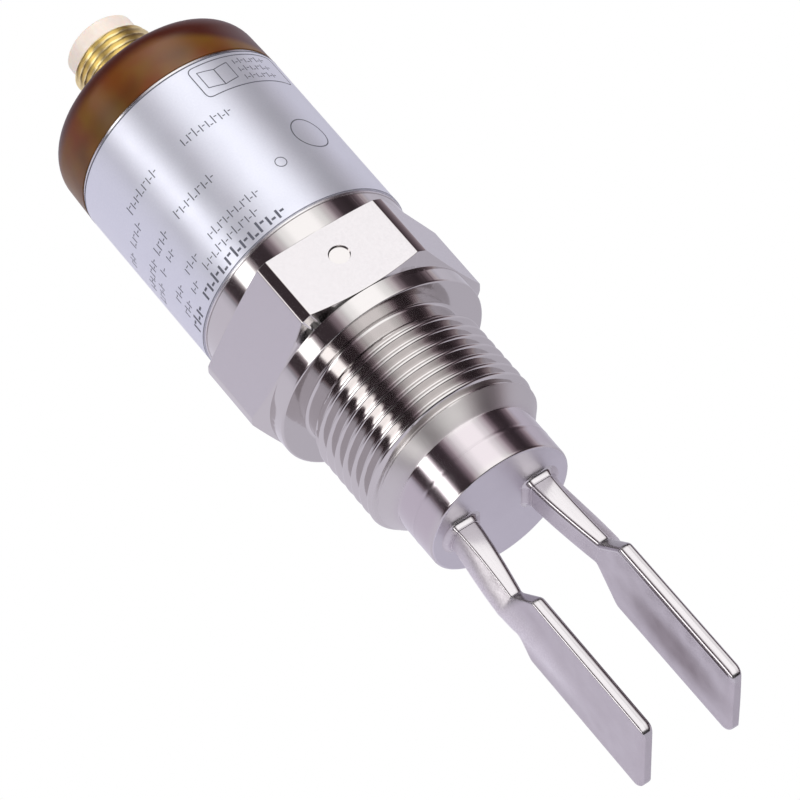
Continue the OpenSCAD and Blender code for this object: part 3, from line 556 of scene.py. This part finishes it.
# Parts inside.
# The bolted stack of piezo discs that drives the diaphragm, and the circuit board on its carrier.
# They are punched, ground, fired or moulded parts that only a cut-open switch would show.


def dress(node, material):
    """The node of the CAD model with this finish in place of its own."""
    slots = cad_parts[node].data.materials
    slots.clear()
    slots.append(material)


# Each finish: its name, colour, metallic, roughness, grain in millimetres, and the parts that have it. A fine
# grain clouds the colour and the gloss of each a little.
INSIDE = [
    ("ground_hardened_steel", "#a9a8a6", 1.0, 0.25, 0.3, "pressure_ring", "pressure_washer"),
    ("blued_spring_steel", "#6d6f78", 1.0, 0.3, 0.4, "disc_spring"),
    ("zinc_plated_steel", "#c5c8cb", 1.0, 0.3, 0.5, "clamp_bolt", "clamp_nut"),
    ("fired_alumina", "#efece4", 0.0, 0.45, 0.25, "insulating_rings"),
    ("silvered_piezo_ceramic", "#c9bfa4", 0.2, 0.4, 0.3, "piezo_discs"),
    ("rolled_phosphor_bronze", "#c08a55", 1.0, 0.3, 0.5, "electrode_plates"),
    ("drawn_ptfe", "#f0efeb", 0.0, 0.4, 0.6, "insulating_sleeve"),
    ("extruded_pvc_red", "#9d2f28", 0.0, 0.4, 0.5, "piezo_leads"),
    ("moulded_black_nylon", "#202124", 0.0, 0.5, 0.4, "board_carrier"),
    ("solder_masked_laminate", "#1d5a37", 0.0, 0.3, 0.6, "circuit_board"),
    ("moulded_chip_epoxy", "#1b1b1d", 0.0, 0.55, 0.2, "microcontroller", "output_transistors", "test_sensor"),
    ("drawn_aluminium_can", "#cfd2d5", 1.0, 0.3, 0.4, "storage_capacitors"),
    ("fired_chip_ceramic", "#3a3634", 0.0, 0.4, 0.2, "chip_resistors"),
    ("cast_clear_epoxy", "#e8e2c8", 0.0, 0.12, 0.5, "status_leds"),
    ("moulded_nitrile_rubber", "#1c1c1e", 0.0, 0.6, 0.3, "tube_seal", "cap_seal", "sleeve_seal"),
    ("extruded_pvc_brown", "#5b3a26", 0.0, 0.4, 0.5, "connector_leads"),
]
for name, colour, metallic, roughness, grain_size, *nodes in INSIDE:
    material, tree, shader, place = finish(name, colour, metallic, roughness)
    grain = add(tree, "TexNoise", {"Vector": place, "Scale": 1 / (grain_size * MM), "Detail": 3.0})
    darker = [0.8 * v for v in linear(colour)[:3]] + [1.0]
    shade = add(tree, "Mix", {"Factor": grain, "A": darker, "B": linear(colour)}, data_type="RGBA")
    gloss = add(tree, "MapRange", {"Value": grain, "To Min": roughness - 0.06,
                                   "To Max": roughness + 0.08})
    bumps = add(tree, "Bump", {"Strength": 0.3, "Distance": 0.01 * MM, "Height": grain})
    plug(shader, {"Base Color": shade.outputs["Result"], "Roughness": gloss, "Normal": bumps})
    for node in nodes:
        dress(node, material)

# Housing tube.
# A length of thin drawn stainless tube, pressed over the fitting's spigot and the head's skirt.
# Only narrow bands of it show above and below the label and at the label's seam.
TUBE_R = 15.85
TUBE_IN = 14.85
TUBE_TOP = 49.6


def tube_outline(angle):
    return [
        (TUBE_IN, TUBE_Z, 0.15), (TUBE_R, TUBE_Z, EDGE_BREAK),
        (TUBE_R, TUBE_TOP, EDGE_BREAK), (TUBE_IN, TUBE_TOP, 0.15),
    ]


# Drawn stainless steel: grey and even, with faint lines along the tube from the die.
drawn_steel, tree, shader, place = finish("drawn_stainless_steel", "#d8d5d6", 1.0, 0.24)
pulled = add(tree, "Mapping", {"Vector": place, "Scale": (1.0, 1.0, 0.03)})
die_lines = add(tree, "TexNoise", {"Vector": pulled, "Scale": 1 / (0.25 * MM), "Detail": 2.0})
gloss = add(tree, "MapRange", {"Value": die_lines, "To Min": 0.18, "To Max": 0.3})
ridges = add(tree, "Bump", {"Strength": 0.3, "Distance": 0.005 * MM, "Height": die_lines})
plug(shader, {"Roughness": gloss, "Normal": ridges})
tube = new_piece("drawn_tube", turned("drawn_tube", round_angles, tube_outline), drawn_steel)
even_shading(tube)
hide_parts("housing_tube")

# Label.
# A strip of silvered polyester film, printed, cut with rounded corners and stuck round the tube,
# with its two ends a little apart at the back.
LABEL_LOW = 21.25
LABEL_HIGH = 49.15
LABEL_R = 16.0
LABEL_UNDER = 15.85
LABEL_SEAM = 1.2
LABEL_CORNER = 1.2

# Silvered film: a pale bluish silver, half mirror and half satin white, with a very fine grain.
silver_film, tree, shader, place = finish("satin_silver_film", "#d6d7e2", 0.7, 0.38)
FILM_GRAIN = 0.25  # coarser than the film's own 0.03 mm, so that the satin shows
grain = add(tree, "TexNoise", {"Vector": place, "Scale": 1 / (FILM_GRAIN * MM), "Detail": 2.0})
cloud = add(tree, "TexNoise", {"Vector": place, "Scale": 1 / (5 * MM), "Detail": 2.0})
gloss = add(tree, "MapRange", {"Value": cloud, **MID_NOISE, "To Min": 0.35, "To Max": 0.41})
shade = add(tree, "Mix", {"Factor": grain, "A": linear("#d1d2de"), "B": linear("#dbdce6")},
            data_type="RGBA")
ripple = add(tree, "Bump", {"Strength": 0.3, "Distance": 0.004 * MM, "Height": grain})
plug(shader, {"Base Color": shade.outputs["Result"], "Roughness": gloss, "Normal": ripple})

label_steps = 240
half_seam = math.asin(LABEL_SEAM / 2 / LABEL_R)
sweep = 2 * math.pi - 2 * half_seam
shape = bmesh.new()
grid = []
for i in range(label_steps + 1):
    angle = math.pi / 2 + half_seam + sweep * i / label_steps
    x, y = math.cos(angle), math.sin(angle)
    to_end = min(i, label_steps - i) / label_steps * sweep * LABEL_R
    dip = LABEL_CORNER - min(to_end, LABEL_CORNER)
    cut = LABEL_CORNER - math.sqrt(LABEL_CORNER ** 2 - dip ** 2)
    low, high = LABEL_LOW + cut, LABEL_HIGH - cut
    outline = [(LABEL_UNDER, low), (LABEL_R, low), (LABEL_R, high), (LABEL_UNDER, high)]
    grid.append([shape.verts.new((r * x * MM, r * y * MM, z * MM)) for r, z in outline])
for here, there in zip(grid, grid[1:]):
    bridge(shape, here, there)
shape.faces.new(grid[0])
shape.faces.new(grid[-1])
label_mesh = closed_mesh("label_film", shape)
label = new_piece("label_film", label_mesh, silver_film)
label_mesh.set_sharp_from_angle(angle=math.radians(SHARP_DEG))
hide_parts("label_foil")

# Label print.
# Thin screen-printed ink on the film: a dark line along each edge, partly a printed rule and partly painted
# shadow of the film's edge, a ruled field with a plain open book, a ring and a small dot ring for the test
# point, and rows of plain bars and dashes.
INK_T = 0.015
BAR_AT, DASH_FROM, DASH_TO = 0.15, 0.42, 0.82
BAR_HEIGHTS = (0.8, 1.0, 0.8)
DASH_HEIGHTS = (0.12, 0.5, 0.3, 0.68)

# Screen ink: a matt dark grey with tiny thin spots.
ink, tree, shader, place = finish("dark_screen_ink", "#3c3d49", 0.0, 0.5)
spots = add(tree, "TexNoise", {"Vector": place, "Scale": 1 / (0.3 * MM), "Detail": 2.0})
shade = add(tree, "Mix", {"Factor": spots, "A": linear("#3c3d49"), "B": linear("#62636f")},
            data_type="RGBA")
plug(shader, {"Base Color": shade.outputs["Result"]})

strokes = []


def rule(start_deg, end_deg, z, width):
    """A straight stroke round the tube, from one angle to another."""
    count = max(2, int(abs(end_deg - start_deg)))
    path = [(math.radians(mix(start_deg, end_deg, i / count)) * LABEL_R, z) for i in range(count + 1)]
    strokes.append((path, width, False))


def ring(middle_deg, z, radius, width):
    middle = math.radians(middle_deg) * LABEL_R
    path = [(middle + radius * math.cos(a), z + radius * math.sin(a)) for a in round_angles[::4]]
    strokes.append((path, width, True))


def panel(corners, width, ease=0.05):
    """A closed stroke through corners given as degrees and height."""
    outline = [(math.radians(deg) * LABEL_R, z, ease) for deg, z in corners]
    path = []
    corners_round = [tuple(p) for p in rounded(outline, 5)]
    for here, there in zip(corners_round, corners_round[1:] + corners_round[:1]):
        count = max(1, int(math.dist(here, there) / 0.4))
        path += [tuple(mix(a, b, i / count) for a, b in zip(here, there)) for i in range(count)]
    strokes.append((path, width, True))


def stroke_row(start_deg, end_deg, z, tall, width, step):
    """Plain strokes on a base line: upright bars, each with a short dash beside it."""
    count = max(1, round((end_deg - start_deg) / step))
    for i in range(count):
        bar, left, right = (
            math.radians(mix(start_deg, end_deg, (i + share) / count)) * LABEL_R
            for share in (BAR_AT, DASH_FROM, DASH_TO)
        )
        top = z + tall * BAR_HEIGHTS[(i + count) % 3]
        dash = z + tall * DASH_HEIGHTS[(3 * i + count) % 4]
        strokes.append(([(bar, z), (bar, top)], width, False))
        strokes.append(([(left, dash), (right, dash)], width, False))


# The two edge lines are partly printed rules and partly painted shadow along the film's top and bottom edges.
rule(-264, 84, LABEL_HIGH - 0.12, 0.2)
rule(-264, 84, LABEL_LOW + 0.08, 0.12)
panel([(-88, 43.0), (-33, 43.0), (-33, 48.4), (-88, 48.4)], 0.15, ease=0.9)
panel([(-84.5, 47.4), (-76, 46.9), (-76, 44.0), (-84.5, 44.5)], 0.13)
panel([(-76, 46.9), (-67.5, 47.4), (-67.5, 44.5), (-76, 44.0)], 0.13)
ring(-55.3, 32.5, 2.7, 0.17)
ring(-81.5, 29.2, 0.78, 0.13)
# Each row: base line, height, width of a stroke, step from bar to bar, and its stretches in degrees.
ROWS = [
    (46.8, 1.0, 0.13, 3.6, [(-64, -42)]),
    (45.3, 1.0, 0.13, 3.6, [(-64, -42)]),
    (43.8, 1.0, 0.13, 3.6, [(-64, -42)]),
    (39.2, 1.5, 0.15, 3.7, [(-156, -129), (-112, -83)]),
    (37.0, 1.4, 0.14, 3.7, [(-186, -176), (-171, -155)]),
    (32.4, 1.5, 0.15, 3.7, [(-186, -164), (-160, -146), (-137, -110)]),
    (30.2, 1.4, 0.14, 3.7, [(-188, -173), (-167, -162), (-157, -150)]),
    (26.5, 1.4, 0.14, 3.7, [(-172, -161), (-153, -141), (-131, -99)]),
    (24.3, 1.4, 0.14, 3.7, [(-174, -164), (-158, -151), (-143, -105)]),
    (21.9, 1.8, 0.34, 5.2, [(-176, -160), (-154, -95)]),
]
for z, tall, width, step, stretches in ROWS:
    for start, end in stretches:
        stroke_row(start, end, z, tall, width, step)

shape = bmesh.new()
for path, width, closed in strokes:
    count = len(path)
    sides = []
    for i in range(count):
        here = Vector(path[i])
        back = Vector(path[i - 1]) if closed or i > 0 else here
        ahead = Vector(path[(i + 1) % count]) if closed or i < count - 1 else here
        run = (ahead - back).normalized()
        off = Vector((-run.y, run.x)) * width / 2
        sides.append([here + off, here - off])
    grid = []
    low, high = LABEL_R - INK_T / 3, LABEL_R + INK_T
    for left, right in sides:
        corners = [(left, low), (left, high), (right, high), (right, low)]
        grid.append([
            shape.verts.new(Vector((r * math.cos(p.x / LABEL_R), r * math.sin(p.x / LABEL_R), p.y)) * MM)
            for p, r in corners
        ])
    for i in range(count if closed else count - 1):
        bridge(shape, grid[i], grid[(i + 1) % count])
    if not closed:
        for end in (grid[0], grid[-1]):
            shape.faces.new(end)
print_mesh = closed_mesh("label_print", shape)
label_print = new_piece("label_print", print_mesh, ink)
print_mesh.set_sharp_from_angle(angle=math.radians(SHARP_DEG))

# Head cap.
# The head is moulded in clear amber polyamide and pushed into the tube up to its lip, with an O-ring on
# its skirt. The status lamps shine through it.
LIP_OUT_R = 15.98
HEAD_R = 15.83
HEAD_Z = 58.8
HEAD_ROUND = 4.4
HEAD_WALL = 1.0
HEAD_IN_Z = 56.2
SKIRT_R = 14.82
SKIRT_IN = 12.82
SKIRT_Z = 44.6
CAP_GROOVE_R = 13.65
CAP_GROOVE_LOW = 46.15
CAP_GROOVE_HIGH = 48.05
SEAT_R = 6.33
FLANGE_R = 8.03
COLLAR_IN_R = 9.53
COLLAR_IN_Z = 52.8
CLOUD_FULL = 51.0
CLOUD_END = 54.2
DARK_START = 54.5
DARK_FULL = 56.5
DARK_SLANT = 0.4


def shoulder(side_r, top_z, bend):
    """The quarter round from a side up to a top."""
    steps = 16
    turns = [math.pi / 2 * i / steps for i in range(steps + 1)]
    return [(side_r - bend * (1 - math.cos(a)), top_z - bend * (1 - math.sin(a)), None) for a in turns]


def head_outline(angle):
    """Skirt, lip, drafted side, round shoulder, top, and the hollow with the collar for the sleeve."""
    return [
        (SKIRT_IN, SKIRT_Z, 0.2), (SKIRT_R, SKIRT_Z, 0.3), (SKIRT_R, CAP_GROOVE_LOW, 0.05),
        (CAP_GROOVE_R, CAP_GROOVE_LOW, 0.05), (CAP_GROOVE_R, CAP_GROOVE_HIGH, 0.05),
        (SKIRT_R, CAP_GROOVE_HIGH, 0.05), (SKIRT_R, TUBE_TOP, 0.05), (LIP_OUT_R, TUBE_TOP, 0.15),
        *shoulder(HEAD_R, HEAD_Z, HEAD_ROUND),
        (SEAT_R, HEAD_Z, 0.2), (SEAT_R, HEAD_IN_Z, 0.05), (FLANGE_R, HEAD_IN_Z, 0.05),
        (FLANGE_R, COLLAR_IN_Z, 0.1), (COLLAR_IN_R, COLLAR_IN_Z, 0.1), (COLLAR_IN_R, HEAD_IN_Z, 0.2),
        *reversed(shoulder(SKIRT_IN, HEAD_IN_Z, HEAD_ROUND - HEAD_WALL)),
    ]


# Moulded polyamide: clear amber plastic, olive brown on the side. Round the shoulder it is a deep red brown,
# partly the colour of the thicker wall and partly painted shade, and the painted shade reaches lower towards
# +X.
# Low on the side, dark olive clouds are painted shade standing in for the seal and the tube's end seen
# through the wall, and the fine moulded texture takes the edge off the gloss.
amber_plastic, tree, shader, place = finish("moulded_amber_polyamide", "#713e04", 0.0, 0.34, IOR=1.51,
                                            Specular_IOR_Level=0.18, Transmission_Weight=0.35)
axes = add(tree, "SeparateXYZ", {"Vector": place})
flow = add(tree, "TexNoise", {"Vector": place, "Scale": 1 / (6 * MM), "Detail": 2.0})
skin = add(tree, "TexNoise", {"Vector": place, "Scale": 1 / (0.4 * MM), "Detail": 2.0})
streak = add(tree, "MapRange", {"Value": flow, "From Min": 0.35, "From Max": 0.65})
side = add(tree, "Mix", {"Factor": streak, "A": linear("#763604"), "B": linear("#7a5004")},
           data_type="RGBA")
# Painted shade: dark olive clouds low on the side, where the seal and the tube's end behind the wall show.
clouds = add(tree, "TexNoise", {"Vector": place, "Scale": 1 / (7 * MM), "Detail": 1.0})
cloudy = add(tree, "MapRange", {"Value": clouds, "From Min": 0.38, "From Max": 0.66, "To Min": 0.0,
                                "To Max": 0.4}, interpolation_type="SMOOTHSTEP")
low = add(tree, "MapRange", {"Value": axes.outputs["Z"], "From Min": CLOUD_END * MM,
                             "From Max": CLOUD_FULL * MM}, interpolation_type="SMOOTHSTEP")
painted_shade_clouds = add(tree, "Math", {0: cloudy, 1: low}, operation="MULTIPLY")
side_with_painted_clouds = add(tree, "Mix", {"Factor": painted_shade_clouds, "A": side.outputs["Result"], "B": linear("#3a2804")},
              data_type="RGBA")
# Painted shade: the dark red brown of the shoulder, partly the thick wall's colour, reaches lower towards +X.
east = add(tree, "Math", {0: axes.outputs["X"], 1: 0.0}, operation="MAXIMUM")
slant = add(tree, "Math", {0: east, 1: DARK_SLANT, 2: axes.outputs["Z"]}, operation="MULTIPLY_ADD")
thick_and_painted_shade = add(tree, "MapRange", {"Value": slant, "From Min": DARK_START * MM, "From Max": DARK_FULL * MM},
            interpolation_type="SMOOTHSTEP")
shade = add(tree, "Mix", {"Factor": thick_and_painted_shade, "A": side_with_painted_clouds.outputs["Result"], "B": linear("#4c1602")},
            data_type="RGBA")
gloss = add(tree, "MapRange", {"Value": skin, "To Min": 0.3, "To Max": 0.38})
bumps = add(tree, "Bump", {"Strength": 0.2, "Distance": 0.004 * MM, "Height": skin})
plug(shader, {"Base Color": shade.outputs["Result"], "Roughness": gloss, "Normal": bumps})
cap = new_piece("amber_head", turned("amber_head", round_angles, head_outline), amber_plastic)
even_shading(cap)
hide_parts("head_cap")

# Connector sleeve.
# An M12 sleeve turned in brass, put in from inside the head until its flange stops it.
# Its thread takes the nut of the cable's socket.
SLEEVE_LOW = 54.6
SLEEVE_FLANGE_R = 8.0
SLEEVE_SEAT_R = 6.3
PLUG_R = 6.0
PLUG_PITCH = 1.0
SLEEVE_Z = 67.0
SLEEVE_RIM = 0.5
SLEEVE_BORE = 5.0
SEAL_IN = 6.75
SEAL_OUT = 7.55
SEAL_FLOOR = 55.56


def metric_depth(along):
    """Depth of the 60 degree thread below its crest, with its small flats at crest and root."""
    return min(max(along - PLUG_PITCH / 16, 0.0) / math.tan(math.radians(30)), 0.57 * PLUG_PITCH)


def sleeve_outline(angle):
    """Flange with the groove for its seal, seat in the head, threaded outside, rim and bore."""
    outline = [
        (SLEEVE_BORE, SLEEVE_LOW, 0.1), (SLEEVE_FLANGE_R, SLEEVE_LOW, 0.1),
        (SLEEVE_FLANGE_R, HEAD_IN_Z, 0.1), (SEAL_OUT, HEAD_IN_Z, 0.02), (SEAL_OUT, SEAL_FLOOR, 0.02),
        (SEAL_IN, SEAL_FLOOR, 0.02), (SEAL_IN, HEAD_IN_Z, 0.02), (SLEEVE_SEAT_R, HEAD_IN_Z, 0.05),
        (SLEEVE_SEAT_R, HEAD_Z, 0.1),
    ]
    thread_rows = 130
    for i in range(thread_rows + 1):
        z = mix(HEAD_Z + 0.02, SLEEVE_Z, i / thread_rows)
        crest = PLUG_R - metric_depth(from_crest(z, angle, PLUG_PITCH))
        outline.append((min(crest, PLUG_R - (z - SLEEVE_Z + SLEEVE_RIM)), z, None))
    return outline + [(SLEEVE_BORE, SLEEVE_Z, 0.1)]


# Turned brass: warm yellow metal with fine rings from the tool, slightly tarnished in soft patches.
brass, tree, shader, place = finish("turned_brass", "#f5e4ae", 1.0, 0.32)
axes = add(tree, "SeparateXYZ", {"Vector": place})
rings = add(tree, "TexNoise", {"W": axes.outputs["Z"], "Scale": 1 / (0.2 * MM), "Detail": 2.0},
            noise_dimensions="1D")
tarnish = add(tree, "TexNoise", {"Vector": place, "Scale": 1 / (2 * MM), "Detail": 4.0})
shade = add(tree, "Mix", {"Factor": tarnish, "A": linear("#f0dca0"), "B": linear("#f9eaba")},
            data_type="RGBA")
gloss = add(tree, "MapRange", {"Value": tarnish, "To Min": 0.26, "To Max": 0.38})
ridges = add(tree, "Bump", {"Strength": 0.4, "Distance": 0.006 * MM, "Height": rings})
plug(shader, {"Base Color": shade.outputs["Result"], "Roughness": gloss, "Normal": ridges})
sleeve = new_piece("brass_sleeve", turned("brass_sleeve", round_angles, sleeve_outline), brass)
even_shading(sleeve, 40)
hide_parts("connector_sleeve")

# Contact carrier, plug shroud and pins.
# The carrier and the collar round the plug recess are moulded in cream polyamide; the collar has a
# coding rib inside. The four pins are turned in a copper alloy and gilded.
# Moulded polyamide: a warm white plastic that lets a little light in, with a faint matt skin.
cream_plastic, tree, shader, place = finish("moulded_cream_polyamide", "#e4d8cd", 0.0, 0.38, IOR=1.53,
                                            Subsurface_Weight=0.25, Subsurface_Scale=1.5 * MM)
skin = add(tree, "TexNoise", {"Vector": place, "Scale": 1 / (0.5 * MM), "Detail": 3.0})
shade = add(tree, "Mix", {"Factor": skin, "A": linear("#ddd0c4"), "B": linear("#e8ddd4")},
            data_type="RGBA")
gloss = add(tree, "MapRange", {"Value": skin, "To Min": 0.32, "To Max": 0.46})
bumps = add(tree, "Bump", {"Strength": 0.3, "Distance": 0.01 * MM, "Height": skin})
plug(shader, {"Base Color": shade.outputs["Result"], "Roughness": gloss, "Normal": bumps})
dress("contact_carrier", cream_plastic)
dress("plug_shroud", cream_plastic)

# Gilded copper alloy: bright yellow metal with thin tool rings under the plating.
gilt, tree, shader, place = finish("gilded_copper_alloy", "#dcb661", 1.0, 0.2)
axes = add(tree, "SeparateXYZ", {"Vector": place})
rings = add(tree, "TexNoise", {"W": axes.outputs["Z"], "Scale": 1 / (0.15 * MM), "Detail": 2.0},
            noise_dimensions="1D")
gloss = add(tree, "MapRange", {"Value": rings, "To Min": 0.14, "To Max": 0.26})
ridges = add(tree, "Bump", {"Strength": 0.3, "Distance": 0.004 * MM, "Height": rings})
plug(shader, {"Roughness": gloss, "Normal": ridges})
dress("contact_pins", gilt)

# Studio.
# A pale floor well below the switch and a round light tent about it. The tent's white, grey and dark
# panels are what the bright metal shows; the tent itself isn't seen and throws no shadow.
FLOOR_AT = -0.65
# Each ring of the tent: radius, height, and the share of light on the panels' side and on the grey side.
TENT_RINGS = [
    (0.03, -0.6, 0.1, 1.0), (0.34, -0.585, 0.1, 1.0), (0.45, -0.58, 1.0, 1.0), (0.9, -0.5, 1.0, 1.0),
    (0.9, 0.5, 1.0, 1.0), (0.9, 0.9, 0.8, 0.9), (0.9, 1.4, 0.3, 0.75), (0.5, 1.7, 0.25, 0.25),
    (0.02, 1.8, 0.25, 0.25),
]
TENT_GREY = (0.83, 0.8, 0.91)
GAP_TINT = (1.1, 0.8, 0.95)
# The light round the tent as degrees and level; from GREY_FROM round to GREY_TO the cloth is grey.
PANELS = [
    (-180, 0.85), (-177, 0.4), (-172, 0.06), (-163, 0.05), (-159, 0.3), (-156, 2.8), (-142, 2.8), (-139, 0.5),
    (-135, 0.05), (-119, 0.05), (-113, 0.25), (-105, 0.8), (-97, 1.3), (-88, 1.6), (-66, 1.6), (-57, 1.2),
    (-49, 0.8), (-41, 0.25), (-35, 0.06), (-21, 0.04), (-12, 0.1), (-4, 0.35), (2, 0.7), (8, 0.9),
    (20, 0.85), (30, 0.77), (65, 0.77), (85, 0.95), (100, 1.0), (172, 1.0),
]
GREY_FROM = 2
GREY_TO = -176
stops = PANELS + [(180, PANELS[0][1])]
tent_steps = 720
points = []
glow = []
for tent_r, z, panel_share, grey_share in TENT_RINGS:
    for i in range(tent_steps):
        deg = -180 + 360 * i / tent_steps
        points.append((tent_r * math.cos(math.radians(deg)), tent_r * math.sin(math.radians(deg)), z))
        for (a, va), (b, vb) in zip(stops, stops[1:]):
            if a <= deg <= b:
                level = mix(va, vb, eased((deg - a) / (b - a)))
        if deg > GREY_FROM or deg < GREY_TO:
            glow.append([grey_share * level * c for c in TENT_GREY] + [1.0])
        else:
            glow.append([panel_share * level * mix(c, 1.0, min(1.0, level)) for c in GAP_TINT] + [1.0])
faces = [
    (r * tent_steps + i, r * tent_steps + (i + 1) % tent_steps,
     (r + 1) * tent_steps + (i + 1) % tent_steps, (r + 1) * tent_steps + i)
    for r in range(len(TENT_RINGS) - 1) for i in range(tent_steps)
]
tent_mesh = bpy.data.meshes.new("light_tent")
tent_mesh.from_pydata(points, [], faces)
colours = tent_mesh.attributes.new("glow", "FLOAT_COLOR", "POINT")
for i, value in enumerate(glow):
    colours.data[i].color = value
tent_cloth = bpy.data.materials.new("lit_tent_cloth")
tent_cloth.use_nodes = True
tree = tent_cloth.node_tree
tree.nodes.clear()
shown = add(tree, "Attribute", attribute_name="glow")
light = add(tree, "Emission", {"Color": shown.outputs["Color"], "Strength": 1.0})
add(tree, "OutputMaterial", {"Surface": light})
tent_mesh.materials.append(tent_cloth)
tent = bpy.data.objects.new("light_tent", tent_mesh)
for ray in ("camera", "diffuse", "transmission", "shadow", "volume_scatter"):
    setattr(tent, "visible_" + ray, False)
bpy.context.scene.collection.objects.link(tent)

# Pale painted floor: matt, and blending into the white background away from the switch.
FLOOR_R = 4.0
FADE_FROM = 0.25
FADE_TO = 1.2
floor_paint, tree, shader, place = finish("pale_floor_paint", "#f2f2f2", 0.0, 0.8)
away = add(tree, "VectorMath", {0: place}, operation="LENGTH")
fade = add(tree, "MapRange", {"Value": away.outputs["Value"], "From Min": FADE_FROM, "From Max": FADE_TO},
           interpolation_type="SMOOTHSTEP")
seen = add(tree, "LightPath")
white = add(tree, "Emission", {"Color": linear("#ffffff"), "Strength": 1.0})
share = add(tree, "Math", {0: fade, 1: seen.outputs["Is Camera Ray"]}, operation="MULTIPLY")
blend = add(tree, "MixShader", {0: share, 1: shader, 2: white})
plug(tree.nodes["Material Output"], {"Surface": blend})
rim = [(FLOOR_R * math.cos(a), FLOOR_R * math.sin(a), FLOOR_AT) for a in round_angles[::2]]
floor_mesh = bpy.data.meshes.new("floor")
floor_mesh.from_pydata(rim, [], [tuple(range(len(rim)))])
floor_mesh.materials.append(floor_paint)
floor = bpy.data.objects.new("floor", floor_mesh)
floor.visible_glossy = False
bpy.context.scene.collection.objects.link(floor)

# The background is white to the camera, to mirrors and through clear plastic; other light is softer.
AMBIENT = 0.62
world = bpy.data.worlds.new("studio")
world.use_nodes = True
tree = world.node_tree
tree.nodes.clear()
path = add(tree, "LightPath")
direct = add(tree, "Math", {0: path.outputs["Is Camera Ray"], 1: path.outputs["Is Glossy Ray"]},
             operation="MAXIMUM")
clear = add(tree, "Math", {0: direct, 1: path.outputs["Is Transmission Ray"]}, operation="MAXIMUM")
level = add(tree, "MapRange", {"Value": clear, "To Min": AMBIENT, "To Max": 1.0})
sky = add(tree, "Background", {"Color": linear("#ffffff"), "Strength": level})
add(tree, "OutputWorld", {"Surface": sky})
bpy.context.scene.world = world

# Two soft lamps: a broad one in front on the right and a weaker one on the left.
LAMPS = [("key_lamp", (0.35, -0.75, 0.35), 0.5, 5.0), ("fill_lamp", (-0.75, -0.3, 0.1), 0.6, 2.5)]
for name, where, size, watts in LAMPS:
    lamp = bpy.data.lights.new(name, "AREA")
    lamp.size = size
    lamp.energy = watts
    holder = bpy.data.objects.new(name, lamp)
    holder.location = where
    holder.rotation_euler = (-Vector(where)).to_track_quat("-Z", "Y").to_euler()
    holder.visible_glossy = False
    holder.visible_camera = False
    bpy.context.scene.collection.objects.link(holder)

# Camera, standing below the switch on its left and looking up along it, as the photograph was taken.
CAMERA_AT = Vector((-0.233805, -0.620202, -0.349603))
RIGHT = Vector((0.81611, 0.01768, -0.57763))
UP = Vector((0.48681, -0.55967, 0.67066))
camera_data = bpy.data.cameras.new("camera")
camera_data.sensor_width = 36.0
camera_data.lens = 261.52
camera_data.clip_start = 0.01
camera_data.clip_end = 20.0
camera = bpy.data.objects.new("camera", camera_data)
turn = Matrix((RIGHT, UP, RIGHT.cross(UP))).transposed()
camera.matrix_world = Matrix.Translation(CAMERA_AT) @ turn.to_4x4()
bpy.context.scene.collection.objects.link(camera)
bpy.context.scene.camera = camera
bpy.context.scene.view_settings.view_transform = "Standard"
